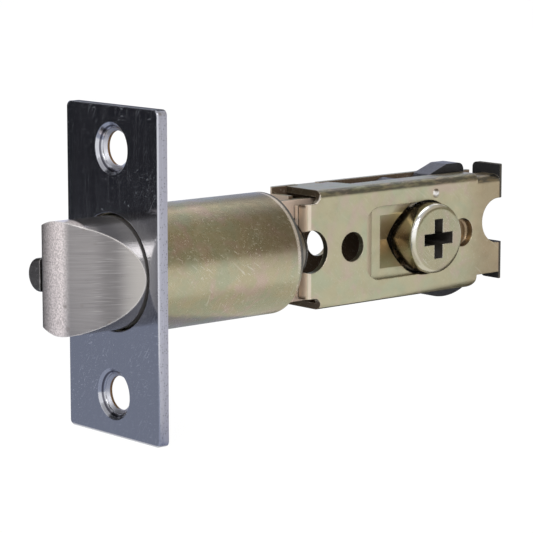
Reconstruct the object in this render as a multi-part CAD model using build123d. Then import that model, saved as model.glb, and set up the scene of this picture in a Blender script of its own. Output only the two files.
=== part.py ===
from build123d import *
import os
from math import atan2, cos, degrees, radians, sin, sqrt, tan

# Tubular deadlatch for a 70 mm backset, in millimetres.
# Origin: centre of the faceplate's front face. +X runs into the door, +Z is up,
# the latch bolt points to -X and its bevel faces -Y.

# Faceplate and backing plate
PLATE_HEIGHT = 57.15
PLATE_WIDTH = 25.4
FACE_THICKNESS = 1.0
BACKING_THICKNESS = 1.0
PLATE_CORNER_R = 1.0
PLATE_EDGE_BREAK = 0.2
SCREW_SPACING = 42.4
SCREW_HOLE_D = 6.0
COUNTERSINK_D = 9.0

# Latch bolt
BOLT_D = 19.6
BOLT_THROW = 11.5
BOLT_BODY_LENGTH = 14.0
BOLT_FLAT_OFFSET = 5.0
RAMP_START = 0.4
RAMP_ANGLE = 33.7
NOSE_R = 7.0
TIP_EDGE_R = 0.8

# Barrel tube and its end plug
TUBE_OD = 22.0
TUBE_WALL = 0.9
TUBE_END_X = 34.1
PLUG_LENGTH = 2.9
NECK_D = 11.2
NECK_LENGTH = 5.5
SPIGOT_D = 8.0
SPIGOT_STANDOUT = 0.6
SPRING_BOSS_D = 5.6
SPRING_BOSS_LENGTH = 4.6
PLUG_PIN_D = 2.0
PLUG_PIN_LENGTH = 5.0

# Case: a folded body on the near side and a folded cover on the far side
CASE_THICKNESS = 10.4
CASE_HEIGHT = 21.8
BODY_SHEET = 1.2
COVER_SHEET = 1.0
BEND_R = 1.5
REAR_FROM_HUB = 13.4
CAM_WINDOW_FROM_HUB = 15.5
CORNER_RELIEF_LENGTH = 3.6
CORNER_RELIEF_Z = 8.6
CORNER_RELIEF_R = 1.5
RETURN_DEPTH = 2.0
TAB_SETBACK = 6.4
TAB_LENGTH = 5.0
COVER_LIP = 0.1
FRONT_WALL_Z = 9.8
FRONT_WALL_STEP_Z = 8.3

# Tail of the case: two prongs, each with an ear folded across the end
TAIL_FROM_HUB = 20.6
TAIL_TOP_Z = 10.3
TAIL_BOTTOM_Z = -8.6
NOTCH_FROM_HUB = 19.0
NOTCH_CENTRE_Z = 1.5
NOTCH_R = 4.3
UPPER_EAR_TOP_Z = 12.2
UPPER_EAR_DEPTH = 7.4
LOWER_EAR_BOTTOM_Z = -9.9
LOWER_EAR_DEPTH = 4.8
EAR_CORNER_R = 1.0

# Holes through the case, and the dimple behind the hub
BACKSET = 70.0
BOLT_CENTRES = 19.0
THROUGH_HOLE_D = 5.5
FRONT_HOLE_SETBACK = 1.4
FRONT_HOLE_D = 7.8
DIMPLE_FROM_HUB = 9.4
DIMPLE_D = 5.4
DIMPLE_DEPTH = 1.6
DIMPLE_FLOOR = 0.6

# Pan pressed into the case around the hub: a shallow dish with a deeper pocket in it
PAN_FROM_HUB = 15.8
PAN_RAMP = 2.4
PAN_HALF_HEIGHT = 6.8
PAN_DEPTH = 1.0
PAN_CORNER_R = 3.8
POCKET_FROM_HUB = 11.5
POCKET_RAMP = 1.0
POCKET_HALF_HEIGHT = 5.0
POCKET_DEPTH = 3.0
BUMP_FROM_HUB = 2.2
BUMP_Z = 8.1
BUMP_D = 1.7
BUMP_HEIGHT = 0.4

# Drive hub with a cross-shaped socket
HUB_D = 13.2
HUB_FACE_Y = -8.3
HUB_BARREL_END_Y = -2.4
HUB_SEAT_D = 11.2
HUB_SEAT_FLATS = 9.6
HUB_JOURNAL_D = 10.8
HUB_FAR_Y = 7.4
HUB_EDGE_R = 1.2
CROSS_ARM = 2.2
CROSS_SPAN = 7.4
RING_THICKNESS = 0.8
RING_D = 14.0
RING_GROOVE_DEPTH = 0.6
RING_GAP_DEGREES = 60.0

# Retractor cam on the hub; its hump and lobe are placed from the hub's axis
CAM_NEAR_Y = -0.3
CAM_THICKNESS = 4.2
CAM_RING_D = 16.8
LOBE_R = 11.8
LOBE_CENTRE_Z = -1.1
LOBE_FRONT = 3.6
LOBE_REAR = 15.8
FORK_TIP_R = 11.2
FORK_WALL = 2.2
HUMP_FRONT = 5.2
HUMP_RIDGE = 9.8
HUMP_REAR = 14.4
HUMP_TOP_Z = 12.6
HUMP_REAR_R = 1.4

# Drawbar yoke between the bolt and the cam
YOKE_NEAR_Y = -1.9
YOKE_THICKNESS = 1.2
YOKE_INNER_Z = 5.9
YOKE_OUTER_Z = 9.3
YOKE_HEAD_LENGTH = 8.0
YOKE_PIN_D = 3.0
YOKE_PIN_FROM_REAR = 4.5
DRIVE_PIN_D = 2.4
DRIVE_PIN_Z = 7.6
DRIVE_PIN_REACH = 5.5
YOKE_EYE_MARGIN = 2.2

# Deadlock plunger and pawl
PLUNGER_R = 2.9
PLUNGER_BELLY = 0.6
PLUNGER_TIP_SETBACK = 0.1
PLUNGER_LENGTH = 28.9
PLUNGER_TIP_ROUND = 0.5
NUB_LENGTH = 1.5
NUB_THICKNESS = 0.7
PAWL_PIVOT_BEHIND = 2.5
PAWL_PIVOT_Y = 7.4
PAWL_BOTTOM_Z = 3.1
PAWL_THICKNESS = 1.6
PAWL_REACH = 5.4
PAWL_EYE_R = 1.0
PAWL_ARM = 1.6
PAWL_PIN_D = 1.1
PAWL_SWING = 30.0

# Springs
BOLT_SPRING_R = 3.8
BOLT_SPRING_WIRE = 0.8
BOLT_SPRING_TURNS = 7
PLUNGER_SPRING_R = 1.3
PLUNGER_SPRING_WIRE = 0.44
PLUNGER_SPRING_TURNS = 10
PAWL_SPRING_R = 0.95
PAWL_SPRING_WIRE = 0.26
PAWL_SPRING_TURNS = 3
COIL_STEPS = 12
COIL_SIDES = 6

# Clearances
SLIDE_GAP = 0.25
RUNNING_GAP = 0.06
PRESS_GAP = 0.02
LOOSE_GAP = 0.3
HUB_RING_GAP = 0.4
HUB_OPENING_STRETCH = 0.6
BOLT_HOLE_GAP = 0.45
SEAM_GAP = 0.2
OVERCUT = 1.0
SAME_POINT = 0.01

# Values worked out from the sizes above
BOLT_R = BOLT_D / 2
TUBE_R = TUBE_OD / 2
TUBE_BORE_R = TUBE_R - TUBE_WALL
PLATE_BACK_X = FACE_THICKNESS + BACKING_THICKNESS
NEAR_Y = -CASE_THICKNESS / 2
FAR_Y = CASE_THICKNESS / 2
NEAR_INNER_Y = NEAR_Y + BODY_SHEET
COVER_INNER_Y = FAR_Y - COVER_SHEET
CASE_TOP_Z = CASE_HEIGHT / 2
CASE_FRONT_X = TUBE_END_X + NECK_LENGTH
FLANGE_FRONT_X = CASE_FRONT_X + CORNER_RELIEF_LENGTH
FLANGE_REAR_X = BACKSET + REAR_FROM_HUB
TAB_START_X = CASE_FRONT_X + TAB_SETBACK
CAM_WINDOW_X = BACKSET - CAM_WINDOW_FROM_HUB
TAIL_END_X = BACKSET + TAIL_FROM_HUB
NOTCH_CENTRE_X = BACKSET + NOTCH_FROM_HUB
PAN_LEFT_X = BACKSET - PAN_FROM_HUB
POCKET_LEFT_X = BACKSET - POCKET_FROM_HUB
BUMP_X = BACKSET + BUMP_FROM_HUB
COVER_TOP_Z = CASE_TOP_Z + COVER_LIP
CAM_FAR_Y = CAM_NEAR_Y + CAM_THICKNESS
CAM_WINDOW_Y = CAM_NEAR_Y - LOOSE_GAP
YOKE_FAR_Y = YOKE_NEAR_Y + YOKE_THICKNESS
PLUG_FRONT_X = TUBE_END_X - PLUG_LENGTH
PLUNGER_FLAT_Y = BOLT_FLAT_OFFSET + LOOSE_GAP
PLUNGER_CENTRE_Y = PLUNGER_FLAT_Y + PLUNGER_BELLY
PLUNGER_TIP_X = -BOLT_THROW + PLUNGER_TIP_SETBACK
PLUNGER_REAR_X = PLUNGER_TIP_X + PLUNGER_LENGTH
PAWL_PIVOT_X = PLUNGER_REAR_X + PAWL_PIVOT_BEHIND
PLUNGER_SPRING_Y = PLUNGER_FLAT_Y + PLUNGER_SPRING_R + PLUNGER_SPRING_WIRE / 2 + PRESS_GAP
PAWL_TOP_Z = PAWL_BOTTOM_Z + PAWL_THICKNESS
PAWL_INNER_Y = PAWL_PIVOT_Y - PAWL_EYE_R
THROUGH_FRONT_X = BACKSET - BOLT_CENTRES
FRONT_HOLE_X = CASE_FRONT_X + FRONT_HOLE_SETBACK
DIMPLE_X = BACKSET + DIMPLE_FROM_HUB
HALF_TRAVEL = BOLT_THROW / 2
DRIVE_PIN_X = BACKSET - HALF_TRAVEL
CAM_HALF_TURN = degrees(atan2(HALF_TRAVEL, DRIVE_PIN_Z))


def block(x0, x1, y0, y1, z0, z1):
    """Box between two corners."""
    centre = Pos((x0 + x1) / 2, (y0 + y1) / 2, (z0 + z1) / 2)
    return centre * Box(x1 - x0, y1 - y0, z1 - z0)


def rod_x(radius, x0, x1, y=0, z=0):
    """Cylinder along X."""
    return Pos((x0 + x1) / 2, y, z) * Rot(0, 90, 0) * Cylinder(radius, x1 - x0)


def rod_y(radius, y0, y1, x, z):
    """Cylinder along Y."""
    return Pos(x, (y0 + y1) / 2, z) * Rot(90, 0, 0) * Cylinder(radius, y1 - y0)


def rod_z(radius, z0, z1, x, y):
    """Cylinder along Z."""
    return Pos(x, y, (z0 + z1) / 2) * Cylinder(radius, z1 - z0)


def slab_xz(outline, y0, y1):
    """Flat sheet with an outline in X and Z, between two Y planes."""
    face = make_face(Polyline(*[(x, y0, z) for x, z in outline], close=True))
    return extrude(face, amount=y1 - y0, dir=(0, 1, 0))


def slab_yz(outline, x0, x1):
    """Flat sheet with an outline in Y and Z, between two X planes."""
    face = make_face(Polyline(*[(x0, y, z) for y, z in outline], close=True))
    return extrude(face, amount=x1 - x0, dir=(1, 0, 0))


def slab_xy(outline, z0, z1):
    """Flat sheet with an outline in X and Y, between two Z planes."""
    face = make_face(Polyline(*[(x, y, z0) for x, y in outline], close=True))
    return extrude(face, amount=z1 - z0, dir=(0, 0, 1))


def edges_at(solid, axis, *corner):
    """Edges of a solid along one axis that pass through a point of the other two axes."""
    along = (Axis.X, Axis.Y, Axis.Z).index(axis)
    found = []
    for edge in solid.edges().filter_by(axis):
        across = list(edge.center())
        across.pop(along)
        if abs(across[0] - corner[0]) < SAME_POINT and abs(across[1] - corner[1]) < SAME_POINT:
            found.append(edge)
    return found


def coil(radius, wire, x0, x1, turns, y=0, z=0):
    """Wire spring along X that fits between two planes, wound in short straight steps."""
    height = x1 - x0 - wire
    steps = turns * COIL_STEPS
    points = []
    for step in range(steps + 1):
        angle = radians(360 * step / COIL_STEPS)
        points.append((radius * cos(angle), radius * sin(angle), height * step / steps))
    path = Polyline(*points)
    section = Plane(origin=path @ 0, z_dir=path % 0) * RegularPolygon(wire / 2, COIL_SIDES)
    spring = sweep(section, path=path, transition=Transition.RIGHT)
    return Pos(x0 + wire / 2, y, z) * Rot(0, 90, 0) * spring


def plate(thickness, hole_r):
    """Upright plate with rounded corners and a round hole for the bolt, front face at X = 0."""
    outline = RectangleRounded(PLATE_WIDTH, PLATE_HEIGHT, PLATE_CORNER_R)
    solid = extrude(Plane.YZ * outline, amount=thickness)
    return solid - rod_x(hole_r, -OVERCUT, thickness + OVERCUT)


def screw_cutters():
    """Countersunk screw holes that run through both plates."""
    depth = (COUNTERSINK_D - SCREW_HOLE_D) / 2
    cutters = []
    for side in (1, -1):
        z = side * SCREW_SPACING / 2
        cone = Pos(depth / 2, 0, z) * Rot(0, 90, 0) * Cone(COUNTERSINK_D / 2, SCREW_HOLE_D / 2, depth)
        cutters += [cone, rod_x(SCREW_HOLE_D / 2, -OVERCUT, PLATE_BACK_X + OVERCUT, 0, z)]
    return cutters


def faceplate():
    """Satin front plate."""
    solid = plate(FACE_THICKNESS, BOLT_R + BOLT_HOLE_GAP)
    front = solid.faces().sort_by(Axis.X)[0].outer_wire().edges()
    return chamfer(front, PLATE_EDGE_BREAK) - screw_cutters()


def backing_plate():
    """Plate behind the faceplate that carries the barrel."""
    solid = Pos(FACE_THICKNESS, 0, 0) * plate(BACKING_THICKNESS, TUBE_R + PRESS_GAP)
    return solid - screw_cutters()


def barrel_tube():
    """Plated tube from the faceplate to the end plug, with holes for the two pins it holds."""
    tube = rod_x(TUBE_R, FACE_THICKNESS, TUBE_END_X) - rod_x(TUBE_BORE_R, 0, TUBE_END_X + OVERCUT)
    outer_rim = tube.edges().filter_by(GeomType.CIRCLE).group_by(Axis.X)[-1].sort_by(SortBy.RADIUS)[-1]
    tube = chamfer(outer_rim, TUBE_WALL / 3)
    tube -= rod_z(PAWL_PIN_D / 2 + PRESS_GAP, 0, TUBE_R + OVERCUT, PAWL_PIVOT_X, PAWL_PIVOT_Y)
    return tube - rod_y(PLUG_PIN_D / 2 + PRESS_GAP, 0, TUBE_R + OVERCUT, TUBE_END_X - PLUG_LENGTH / 2, 0)


def yoke_slot(x0, x1):
    """Upper and lower slots that the two arms of the yoke slide through."""
    gap = LOOSE_GAP
    upper = block(x0, x1, YOKE_NEAR_Y - gap, YOKE_FAR_Y + gap, YOKE_INNER_Z - gap, YOKE_OUTER_Z + gap)
    return [upper, mirror(upper, Plane.XY)]


def barrel_end_plug():
    """Turned plug in the barrel's end, with a neck to the case and a boss for the bolt spring."""
    plug = rod_x(TUBE_BORE_R - PRESS_GAP, PLUG_FRONT_X, TUBE_END_X)
    plug += rod_x(SPRING_BOSS_D / 2, PLUG_FRONT_X - SPRING_BOSS_LENGTH, PLUG_FRONT_X)
    plug += rod_x(NECK_D / 2, TUBE_END_X, CASE_FRONT_X)
    plug += rod_x(SPIGOT_D / 2, CASE_FRONT_X, CASE_FRONT_X + COVER_SHEET + SPIGOT_STANDOUT)
    plug -= yoke_slot(PLUG_FRONT_X - OVERCUT, TUBE_END_X + OVERCUT)
    pin_x = TUBE_END_X - PLUG_LENGTH / 2
    pin_bottom = TUBE_R - PLUG_PIN_LENGTH - PRESS_GAP
    return plug - rod_y(PLUG_PIN_D / 2 + PRESS_GAP, pin_bottom, TUBE_R, pin_x, 0)


def plug_pin():
    """Pin through the tube's far wall that holds the plug."""
    inset = TUBE_WALL / 4
    return rod_y(PLUG_PIN_D / 2, TUBE_R - PLUG_PIN_LENGTH, TUBE_R - inset, TUBE_END_X - PLUG_LENGTH / 2, 0)


def dish_hollow(grow):
    """Space of the pan's shallow dish, which rolls over softly at its front end."""
    half = PAN_HALF_HEIGHT + grow
    left = PAN_LEFT_X - grow
    top = NEAR_Y - PRESS_GAP
    floor = NEAR_Y + PAN_DEPTH + grow
    drop = floor - top
    turn = atan2(drop, PAN_RAMP)
    radius = (PAN_RAMP**2 + drop**2) / (2 * drop)
    middle = (left + radius * sin(turn), top + radius * (1 - cos(turn)))
    foot = (left + PAN_RAMP, floor)
    profile = [
        ThreePointArc((left, top), middle, foot),
        Polyline(foot, (BACKSET, floor), (BACKSET, top), (left, top)),
    ]
    along = extrude(make_face(profile), amount=half, both=True)
    rounded = Plane.XZ * RectangleRounded(2 * (BACKSET - left), 2 * half, PAN_CORNER_R + grow)
    return along & Pos(BACKSET, 0, 0) * extrude(rounded, amount=CASE_THICKNESS, both=True)


def pocket_hollow(grow):
    """Space of the pan's deeper pocket: a trough with a sloping front end."""
    half = POCKET_HALF_HEIGHT + grow
    step = PAN_DEPTH + grow
    depth = POCKET_DEPTH + grow
    left = POCKET_LEFT_X - grow
    trough = [(0, half), (step, half), (depth, 0), (step, -half), (0, -half)]
    ramp = [(left, 0), (BACKSET, 0), (BACKSET, depth), (left + POCKET_RAMP, depth)]
    across = slab_yz([(NEAR_Y + y, z) for y, z in trough], left, BACKSET)
    return across & slab_xy([(x, NEAR_Y + y) for x, y in ramp], -half, half)


def pan_hollow(grow):
    """Space of the whole pan; grow moves every wall outwards to make the sheet's inner side."""
    return dish_hollow(grow) + pocket_hollow(grow)


def dimple_hollow():
    """Round pressed dimple with a soft bottom edge."""
    hollow = rod_y(DIMPLE_D / 2, NEAR_Y - OVERCUT, NEAR_Y + DIMPLE_DEPTH, DIMPLE_X, 0)
    bottom = hollow.edges().filter_by(GeomType.CIRCLE).sort_by(Axis.Y)[-1]
    return fillet(bottom, DIMPLE_FLOOR)


def bump():
    """Small round bump above the hub."""
    radius = ((BUMP_D / 2)**2 + BUMP_HEIGHT**2) / (2 * BUMP_HEIGHT)
    ball = Pos(BUMP_X, NEAR_Y - BUMP_HEIGHT + radius, BUMP_Z) * Sphere(radius)
    return ball & block(BUMP_X - BUMP_D, BUMP_X + BUMP_D, NEAR_Y - OVERCUT, NEAR_INNER_Y,
                        BUMP_Z - BUMP_D, BUMP_Z + BUMP_D)


def hub_opening():
    """Opening round the hub, stretched a little towards the front."""
    radius = HUB_D / 2 + HUB_RING_GAP
    front_x = BACKSET - HUB_OPENING_STRETCH
    opening = rod_y(radius, NEAR_Y - OVERCUT, 0, BACKSET, 0)
    opening += rod_y(radius, NEAR_Y - OVERCUT, 0, front_x, 0)
    return opening + block(front_x, BACKSET, NEAR_Y - OVERCUT, 0, -radius, radius)


def tail_notch(y0, y1):
    """Half-round notch in the tail for the rear through-bolt."""
    notch = rod_y(NOTCH_R, y0, y1, NOTCH_CENTRE_X, NOTCH_CENTRE_Z)
    z0 = NOTCH_CENTRE_Z - NOTCH_R
    z1 = NOTCH_CENTRE_Z + NOTCH_R
    return notch + block(NOTCH_CENTRE_X, TAIL_END_X + OVERCUT, y0, y1, z0, z1)


def case_holes(y0, y1):
    """Two round holes on the centre line of the case."""
    return [
        rod_y(FRONT_HOLE_D / 2, y0, y1, FRONT_HOLE_X, 0),
        rod_y(THROUGH_HOLE_D / 2, y0, y1, THROUGH_FRONT_X, 0),
    ]


def lower_rear_corner(y0, y1, bottom_z):
    """What is cut away to round the lower rear corner of a case side up to the tail."""
    radius = TAIL_BOTTOM_Z - bottom_z
    centre_x = FLANGE_REAR_X - radius
    corner = block(centre_x, FLANGE_REAR_X + OVERCUT, y0, y1, bottom_z - OVERCUT, TAIL_BOTTOM_Z)
    return corner - rod_y(radius, y0 - OVERCUT, y1 + OVERCUT, centre_x, TAIL_BOTTOM_Z)


def body_channel():
    """Folded channel with rounded bends, open towards the cover."""
    inner_top = CASE_TOP_Z - BODY_SHEET
    outer = block(CASE_FRONT_X, FLANGE_REAR_X, NEAR_Y, FAR_Y, -CASE_TOP_Z, CASE_TOP_Z)
    bends = edges_at(outer, Axis.X, NEAR_Y, CASE_TOP_Z) + edges_at(outer, Axis.X, NEAR_Y, -CASE_TOP_Z)
    outer = fillet(bends, BEND_R)
    inner = block(CASE_FRONT_X - OVERCUT, FLANGE_REAR_X + OVERCUT, NEAR_INNER_Y, FAR_Y + OVERCUT,
                  -inner_top, inner_top)
    bends = edges_at(inner, Axis.X, NEAR_INNER_Y, inner_top)
    bends += edges_at(inner, Axis.X, NEAR_INNER_Y, -inner_top)
    return outer - fillet(bends, BEND_R - BODY_SHEET)


def flange_trim(side):
    """What is cut from a flange: the cam's window, the seat of the cover and the corner relief."""
    z0 = CASE_TOP_Z - BODY_SHEET - OVERCUT
    z1 = CASE_TOP_Z + OVERCUT
    edge = COVER_INNER_Y - PRESS_GAP
    window = [
        (CAM_WINDOW_X, CAM_WINDOW_Y),
        (FLANGE_REAR_X + OVERCUT, CAM_WINDOW_Y),
        (FLANGE_REAR_X + OVERCUT, edge),
        (CAM_WINDOW_X - BODY_SHEET, edge),
    ]
    tab_end = TAB_START_X + TAB_LENGTH
    relief = block(CASE_FRONT_X - OVERCUT, FLANGE_FRONT_X, NEAR_Y - OVERCUT, FAR_Y + OVERCUT,
                   CORNER_RELIEF_Z, z1)
    relief = fillet(edges_at(relief, Axis.Y, FLANGE_FRONT_X, CORNER_RELIEF_Z), CORNER_RELIEF_R)
    cutters = [
        slab_xy(window, z0, z1),
        block(CASE_FRONT_X - OVERCUT, TAB_START_X, edge, FAR_Y + OVERCUT, z0, z1),
        block(tab_end, FLANGE_REAR_X + OVERCUT, edge, FAR_Y + OVERCUT, z0, z1),
        relief,
    ]
    return [cutter if side > 0 else mirror(cutter, Plane.XY) for cutter in cutters]


def body_tail():
    """Prongs behind the channel, with the upper prong's flange and the two folded ears."""
    ear_x = TAIL_END_X - BODY_SHEET
    side = block(FLANGE_REAR_X - BODY_SHEET, TAIL_END_X, NEAR_Y, NEAR_INNER_Y, TAIL_BOTTOM_Z, TAIL_TOP_Z)
    side += block(FLANGE_REAR_X - BODY_SHEET, TAIL_END_X, NEAR_Y, CAM_WINDOW_Y,
                  TAIL_TOP_Z - BODY_SHEET, TAIL_TOP_Z)
    side = fillet(edges_at(side, Axis.X, NEAR_Y, TAIL_TOP_Z), BEND_R)
    upper = block(ear_x, TAIL_END_X, NEAR_Y, NEAR_Y + UPPER_EAR_DEPTH, NOTCH_CENTRE_Z, UPPER_EAR_TOP_Z)
    lower = block(ear_x, TAIL_END_X, NEAR_Y, NEAR_Y + LOWER_EAR_DEPTH, LOWER_EAR_BOTTOM_Z, NOTCH_CENTRE_Z)
    upper = fillet(edges_at(upper, Axis.X, NEAR_Y + UPPER_EAR_DEPTH, UPPER_EAR_TOP_Z), EAR_CORNER_R)
    lower = fillet(edges_at(lower, Axis.X, NEAR_Y + LOWER_EAR_DEPTH, LOWER_EAR_BOTTOM_Z), EAR_CORNER_R)
    ears = upper + lower
    ears = fillet(edges_at(ears, Axis.Z, TAIL_END_X, NEAR_Y), BODY_SHEET - PRESS_GAP)
    corner = block(ear_x, TAIL_END_X + OVERCUT, NEAR_Y - OVERCUT, NEAR_INNER_Y, -CASE_HEIGHT, CASE_HEIGHT)
    return side - corner + ears


def case_body():
    """Near half of the case: folded channel with a pressed pan, prongs and ears."""
    body = body_channel()
    body -= flange_trim(1) + flange_trim(-1)
    body += block(CASE_FRONT_X, CASE_FRONT_X + BODY_SHEET, NEAR_Y, NEAR_Y + RETURN_DEPTH,
                  -CORNER_RELIEF_Z, CORNER_RELIEF_Z)
    body = fillet(edges_at(body, Axis.Z, CASE_FRONT_X, NEAR_Y), BODY_SHEET - PRESS_GAP)
    body -= lower_rear_corner(NEAR_Y - OVERCUT, FAR_Y + OVERCUT, -CASE_TOP_Z)
    body += body_tail()
    body -= tail_notch(NEAR_Y - OVERCUT, FAR_Y)
    pan_sheet = pan_hollow(BODY_SHEET) - block(0, BACKSET * 2, NEAR_Y - OVERCUT, NEAR_Y + PRESS_GAP,
                                               -CASE_HEIGHT, CASE_HEIGHT)
    body += pan_sheet
    body -= pan_hollow(0)
    body += rod_y(DIMPLE_D / 2 + DIMPLE_FLOOR, NEAR_INNER_Y - PRESS_GAP, NEAR_Y + DIMPLE_DEPTH + DIMPLE_FLOOR,
                  DIMPLE_X, 0)
    body -= dimple_hollow()
    body += bump()
    body -= hub_opening()
    return body - case_holes(NEAR_Y - OVERCUT, 0)


def case_cover():
    """Far half of the case: flat side with a folded front wall riveted to the end plug."""
    wall_x = CASE_FRONT_X + COVER_SHEET
    cover = block(CASE_FRONT_X, FLANGE_REAR_X, COVER_INNER_Y, FAR_Y, -COVER_TOP_Z, COVER_TOP_Z)
    cover -= lower_rear_corner(COVER_INNER_Y - OVERCUT, FAR_Y + OVERCUT, -COVER_TOP_Z)
    cover += block(FLANGE_REAR_X - COVER_SHEET, TAIL_END_X, COVER_INNER_Y, FAR_Y, TAIL_BOTTOM_Z, TAIL_TOP_Z)
    near_edge = NEAR_Y + RETURN_DEPTH + SEAM_GAP
    step_y = YOKE_FAR_Y + LOOSE_GAP
    wall = [
        (FAR_Y, FRONT_WALL_Z),
        (step_y, FRONT_WALL_Z),
        (step_y, FRONT_WALL_STEP_Z),
        (near_edge, FRONT_WALL_STEP_Z),
        (near_edge, -FRONT_WALL_STEP_Z),
        (step_y, -FRONT_WALL_STEP_Z),
        (step_y, -FRONT_WALL_Z),
        (FAR_Y, -FRONT_WALL_Z),
    ]
    cover += slab_yz(wall, CASE_FRONT_X, wall_x)
    cover = fillet(edges_at(cover, Axis.Z, CASE_FRONT_X, FAR_Y), COVER_SHEET - PRESS_GAP)
    cover -= yoke_slot(CASE_FRONT_X - OVERCUT, wall_x + OVERCUT)
    cover -= rod_x(SPIGOT_D / 2 + PRESS_GAP, CASE_FRONT_X - OVERCUT, wall_x + OVERCUT)
    tab = block(TAB_START_X - PRESS_GAP, TAB_START_X + TAB_LENGTH + PRESS_GAP, 0, FAR_Y + OVERCUT,
                CASE_TOP_Z - BODY_SHEET - PRESS_GAP, COVER_TOP_Z + OVERCUT)
    cover -= [tab, mirror(tab, Plane.XY)]
    cover -= tail_notch(0, FAR_Y + OVERCUT)
    cover -= rod_y(HUB_JOURNAL_D / 2 + RUNNING_GAP, 0, FAR_Y + OVERCUT, BACKSET, 0)
    return cover - case_holes(0, FAR_Y + OVERCUT)


def latch_bolt():
    """Bevelled bolt: a round bar with one flat, a ramp into a rounded nose, and a sawn slot behind."""
    slope = radians(RAMP_ANGLE)
    start = (-RAMP_START, -BOLT_R)
    centre_x = NOSE_R - BOLT_THROW
    centre_y = -BOLT_R + (NOSE_R - (centre_x + RAMP_START) * sin(slope)) / cos(slope)

    def on_nose(angle):
        return centre_x - NOSE_R * sin(angle), centre_y - NOSE_R * cos(angle)

    square = radians(90)
    tip_y = BOLT_FLAT_OFFSET - TIP_EDGE_R
    tip_x = TIP_EDGE_R - BOLT_THROW
    turn = TIP_EDGE_R * (1 - sqrt(0.5))
    mid_tip = (turn - BOLT_THROW, BOLT_FLAT_OFFSET - turn)
    outline = [
        Line(start, on_nose(slope)),
        ThreePointArc(on_nose(slope), on_nose((slope + square) / 2), on_nose(square)),
        Line(on_nose(square), (-BOLT_THROW, tip_y)),
        ThreePointArc((-BOLT_THROW, tip_y), mid_tip, (tip_x, BOLT_FLAT_OFFSET)),
        Line((tip_x, BOLT_FLAT_OFFSET), (BOLT_BODY_LENGTH, BOLT_FLAT_OFFSET)),
        Line((BOLT_BODY_LENGTH, BOLT_FLAT_OFFSET), (BOLT_BODY_LENGTH, -BOLT_R)),
        Line((BOLT_BODY_LENGTH, -BOLT_R), start),
    ]
    wedge = extrude(make_face(outline), amount=BOLT_R + OVERCUT, both=True)
    bolt = wedge & rod_x(BOLT_R, -BOLT_THROW - OVERCUT, BOLT_BODY_LENGTH)
    head_x = BOLT_BODY_LENGTH - YOKE_HEAD_LENGTH - PRESS_GAP
    bolt -= block(head_x, BOLT_BODY_LENGTH + OVERCUT, YOKE_NEAR_Y - PRESS_GAP, YOKE_FAR_Y + PRESS_GAP,
                  -BOLT_D, BOLT_D)
    bolt -= rod_y(YOKE_PIN_D / 2 + PRESS_GAP, -BOLT_FLAT_OFFSET, BOLT_FLAT_OFFSET + OVERCUT,
                  BOLT_BODY_LENGTH - YOKE_PIN_FROM_REAR, 0)
    return bolt - pawl_groove()


def pawl_drop(x, y):
    """Where a point of the pawl lies once the pawl has swung in."""
    angle = radians(PAWL_SWING)
    dx = x - PAWL_PIVOT_X
    dy = y - PAWL_PIVOT_Y
    along = dx * cos(angle) - dy * sin(angle)
    across = dx * sin(angle) + dy * cos(angle)
    return PAWL_PIVOT_X + along, PAWL_PIVOT_Y + across


def pawl_groove():
    """Groove in the bolt's flat that leaves a lug at the rear for the pawl to block."""
    tip_x, tip_y = pawl_drop(PAWL_PIVOT_X - PAWL_REACH, PAWL_INNER_Y)
    lug = YOKE_OUTER_Z - YOKE_INNER_Z
    front_x = tip_x - BOLT_THROW - 2 * OVERCUT
    return block(front_x, BOLT_BODY_LENGTH - lug, tip_y - 2 * LOOSE_GAP, BOLT_FLAT_OFFSET + OVERCUT,
                 PAWL_BOTTOM_Z - LOOSE_GAP, PAWL_TOP_Z + LOOSE_GAP)


def drawbar_yoke():
    """Flat yoke: a head in the bolt's slot and two arms that run back to the cam."""
    end_x = DRIVE_PIN_X + YOKE_EYE_MARGIN
    head_x = BOLT_BODY_LENGTH - YOKE_HEAD_LENGTH
    yoke = block(head_x, end_x, YOKE_NEAR_Y, YOKE_FAR_Y, -YOKE_OUTER_Z, YOKE_OUTER_Z)
    yoke -= block(BOLT_BODY_LENGTH, end_x + OVERCUT, YOKE_NEAR_Y, YOKE_FAR_Y, -YOKE_INNER_Z, YOKE_INNER_Z)
    ends = edges_at(yoke, Axis.Y, end_x, YOKE_OUTER_Z) + edges_at(yoke, Axis.Y, end_x, -YOKE_OUTER_Z)
    ends += edges_at(yoke, Axis.Y, head_x, YOKE_OUTER_Z) + edges_at(yoke, Axis.Y, head_x, -YOKE_OUTER_Z)
    yoke = fillet(ends, YOKE_THICKNESS)
    yoke -= rod_y(YOKE_PIN_D / 2 + PRESS_GAP, YOKE_NEAR_Y - OVERCUT, YOKE_FAR_Y + OVERCUT,
                  BOLT_BODY_LENGTH - YOKE_PIN_FROM_REAR, 0)
    return yoke - rod_y(DRIVE_PIN_D / 2 + PRESS_GAP, YOKE_NEAR_Y - OVERCUT, YOKE_FAR_Y + OVERCUT,
                        DRIVE_PIN_X, DRIVE_PIN_Z)


def yoke_pin():
    """Cross pin that holds the yoke's head in the bolt."""
    return rod_y(YOKE_PIN_D / 2, -BOLT_FLAT_OFFSET + PRESS_GAP, BOLT_FLAT_OFFSET - SLIDE_GAP,
                 BOLT_BODY_LENGTH - YOKE_PIN_FROM_REAR, 0)


def drive_pin():
    """Pin on the yoke's upper arm that the cam's fork pulls."""
    return rod_y(DRIVE_PIN_D / 2, YOKE_NEAR_Y, YOKE_NEAR_Y + DRIVE_PIN_REACH, DRIVE_PIN_X, DRIVE_PIN_Z)


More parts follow.
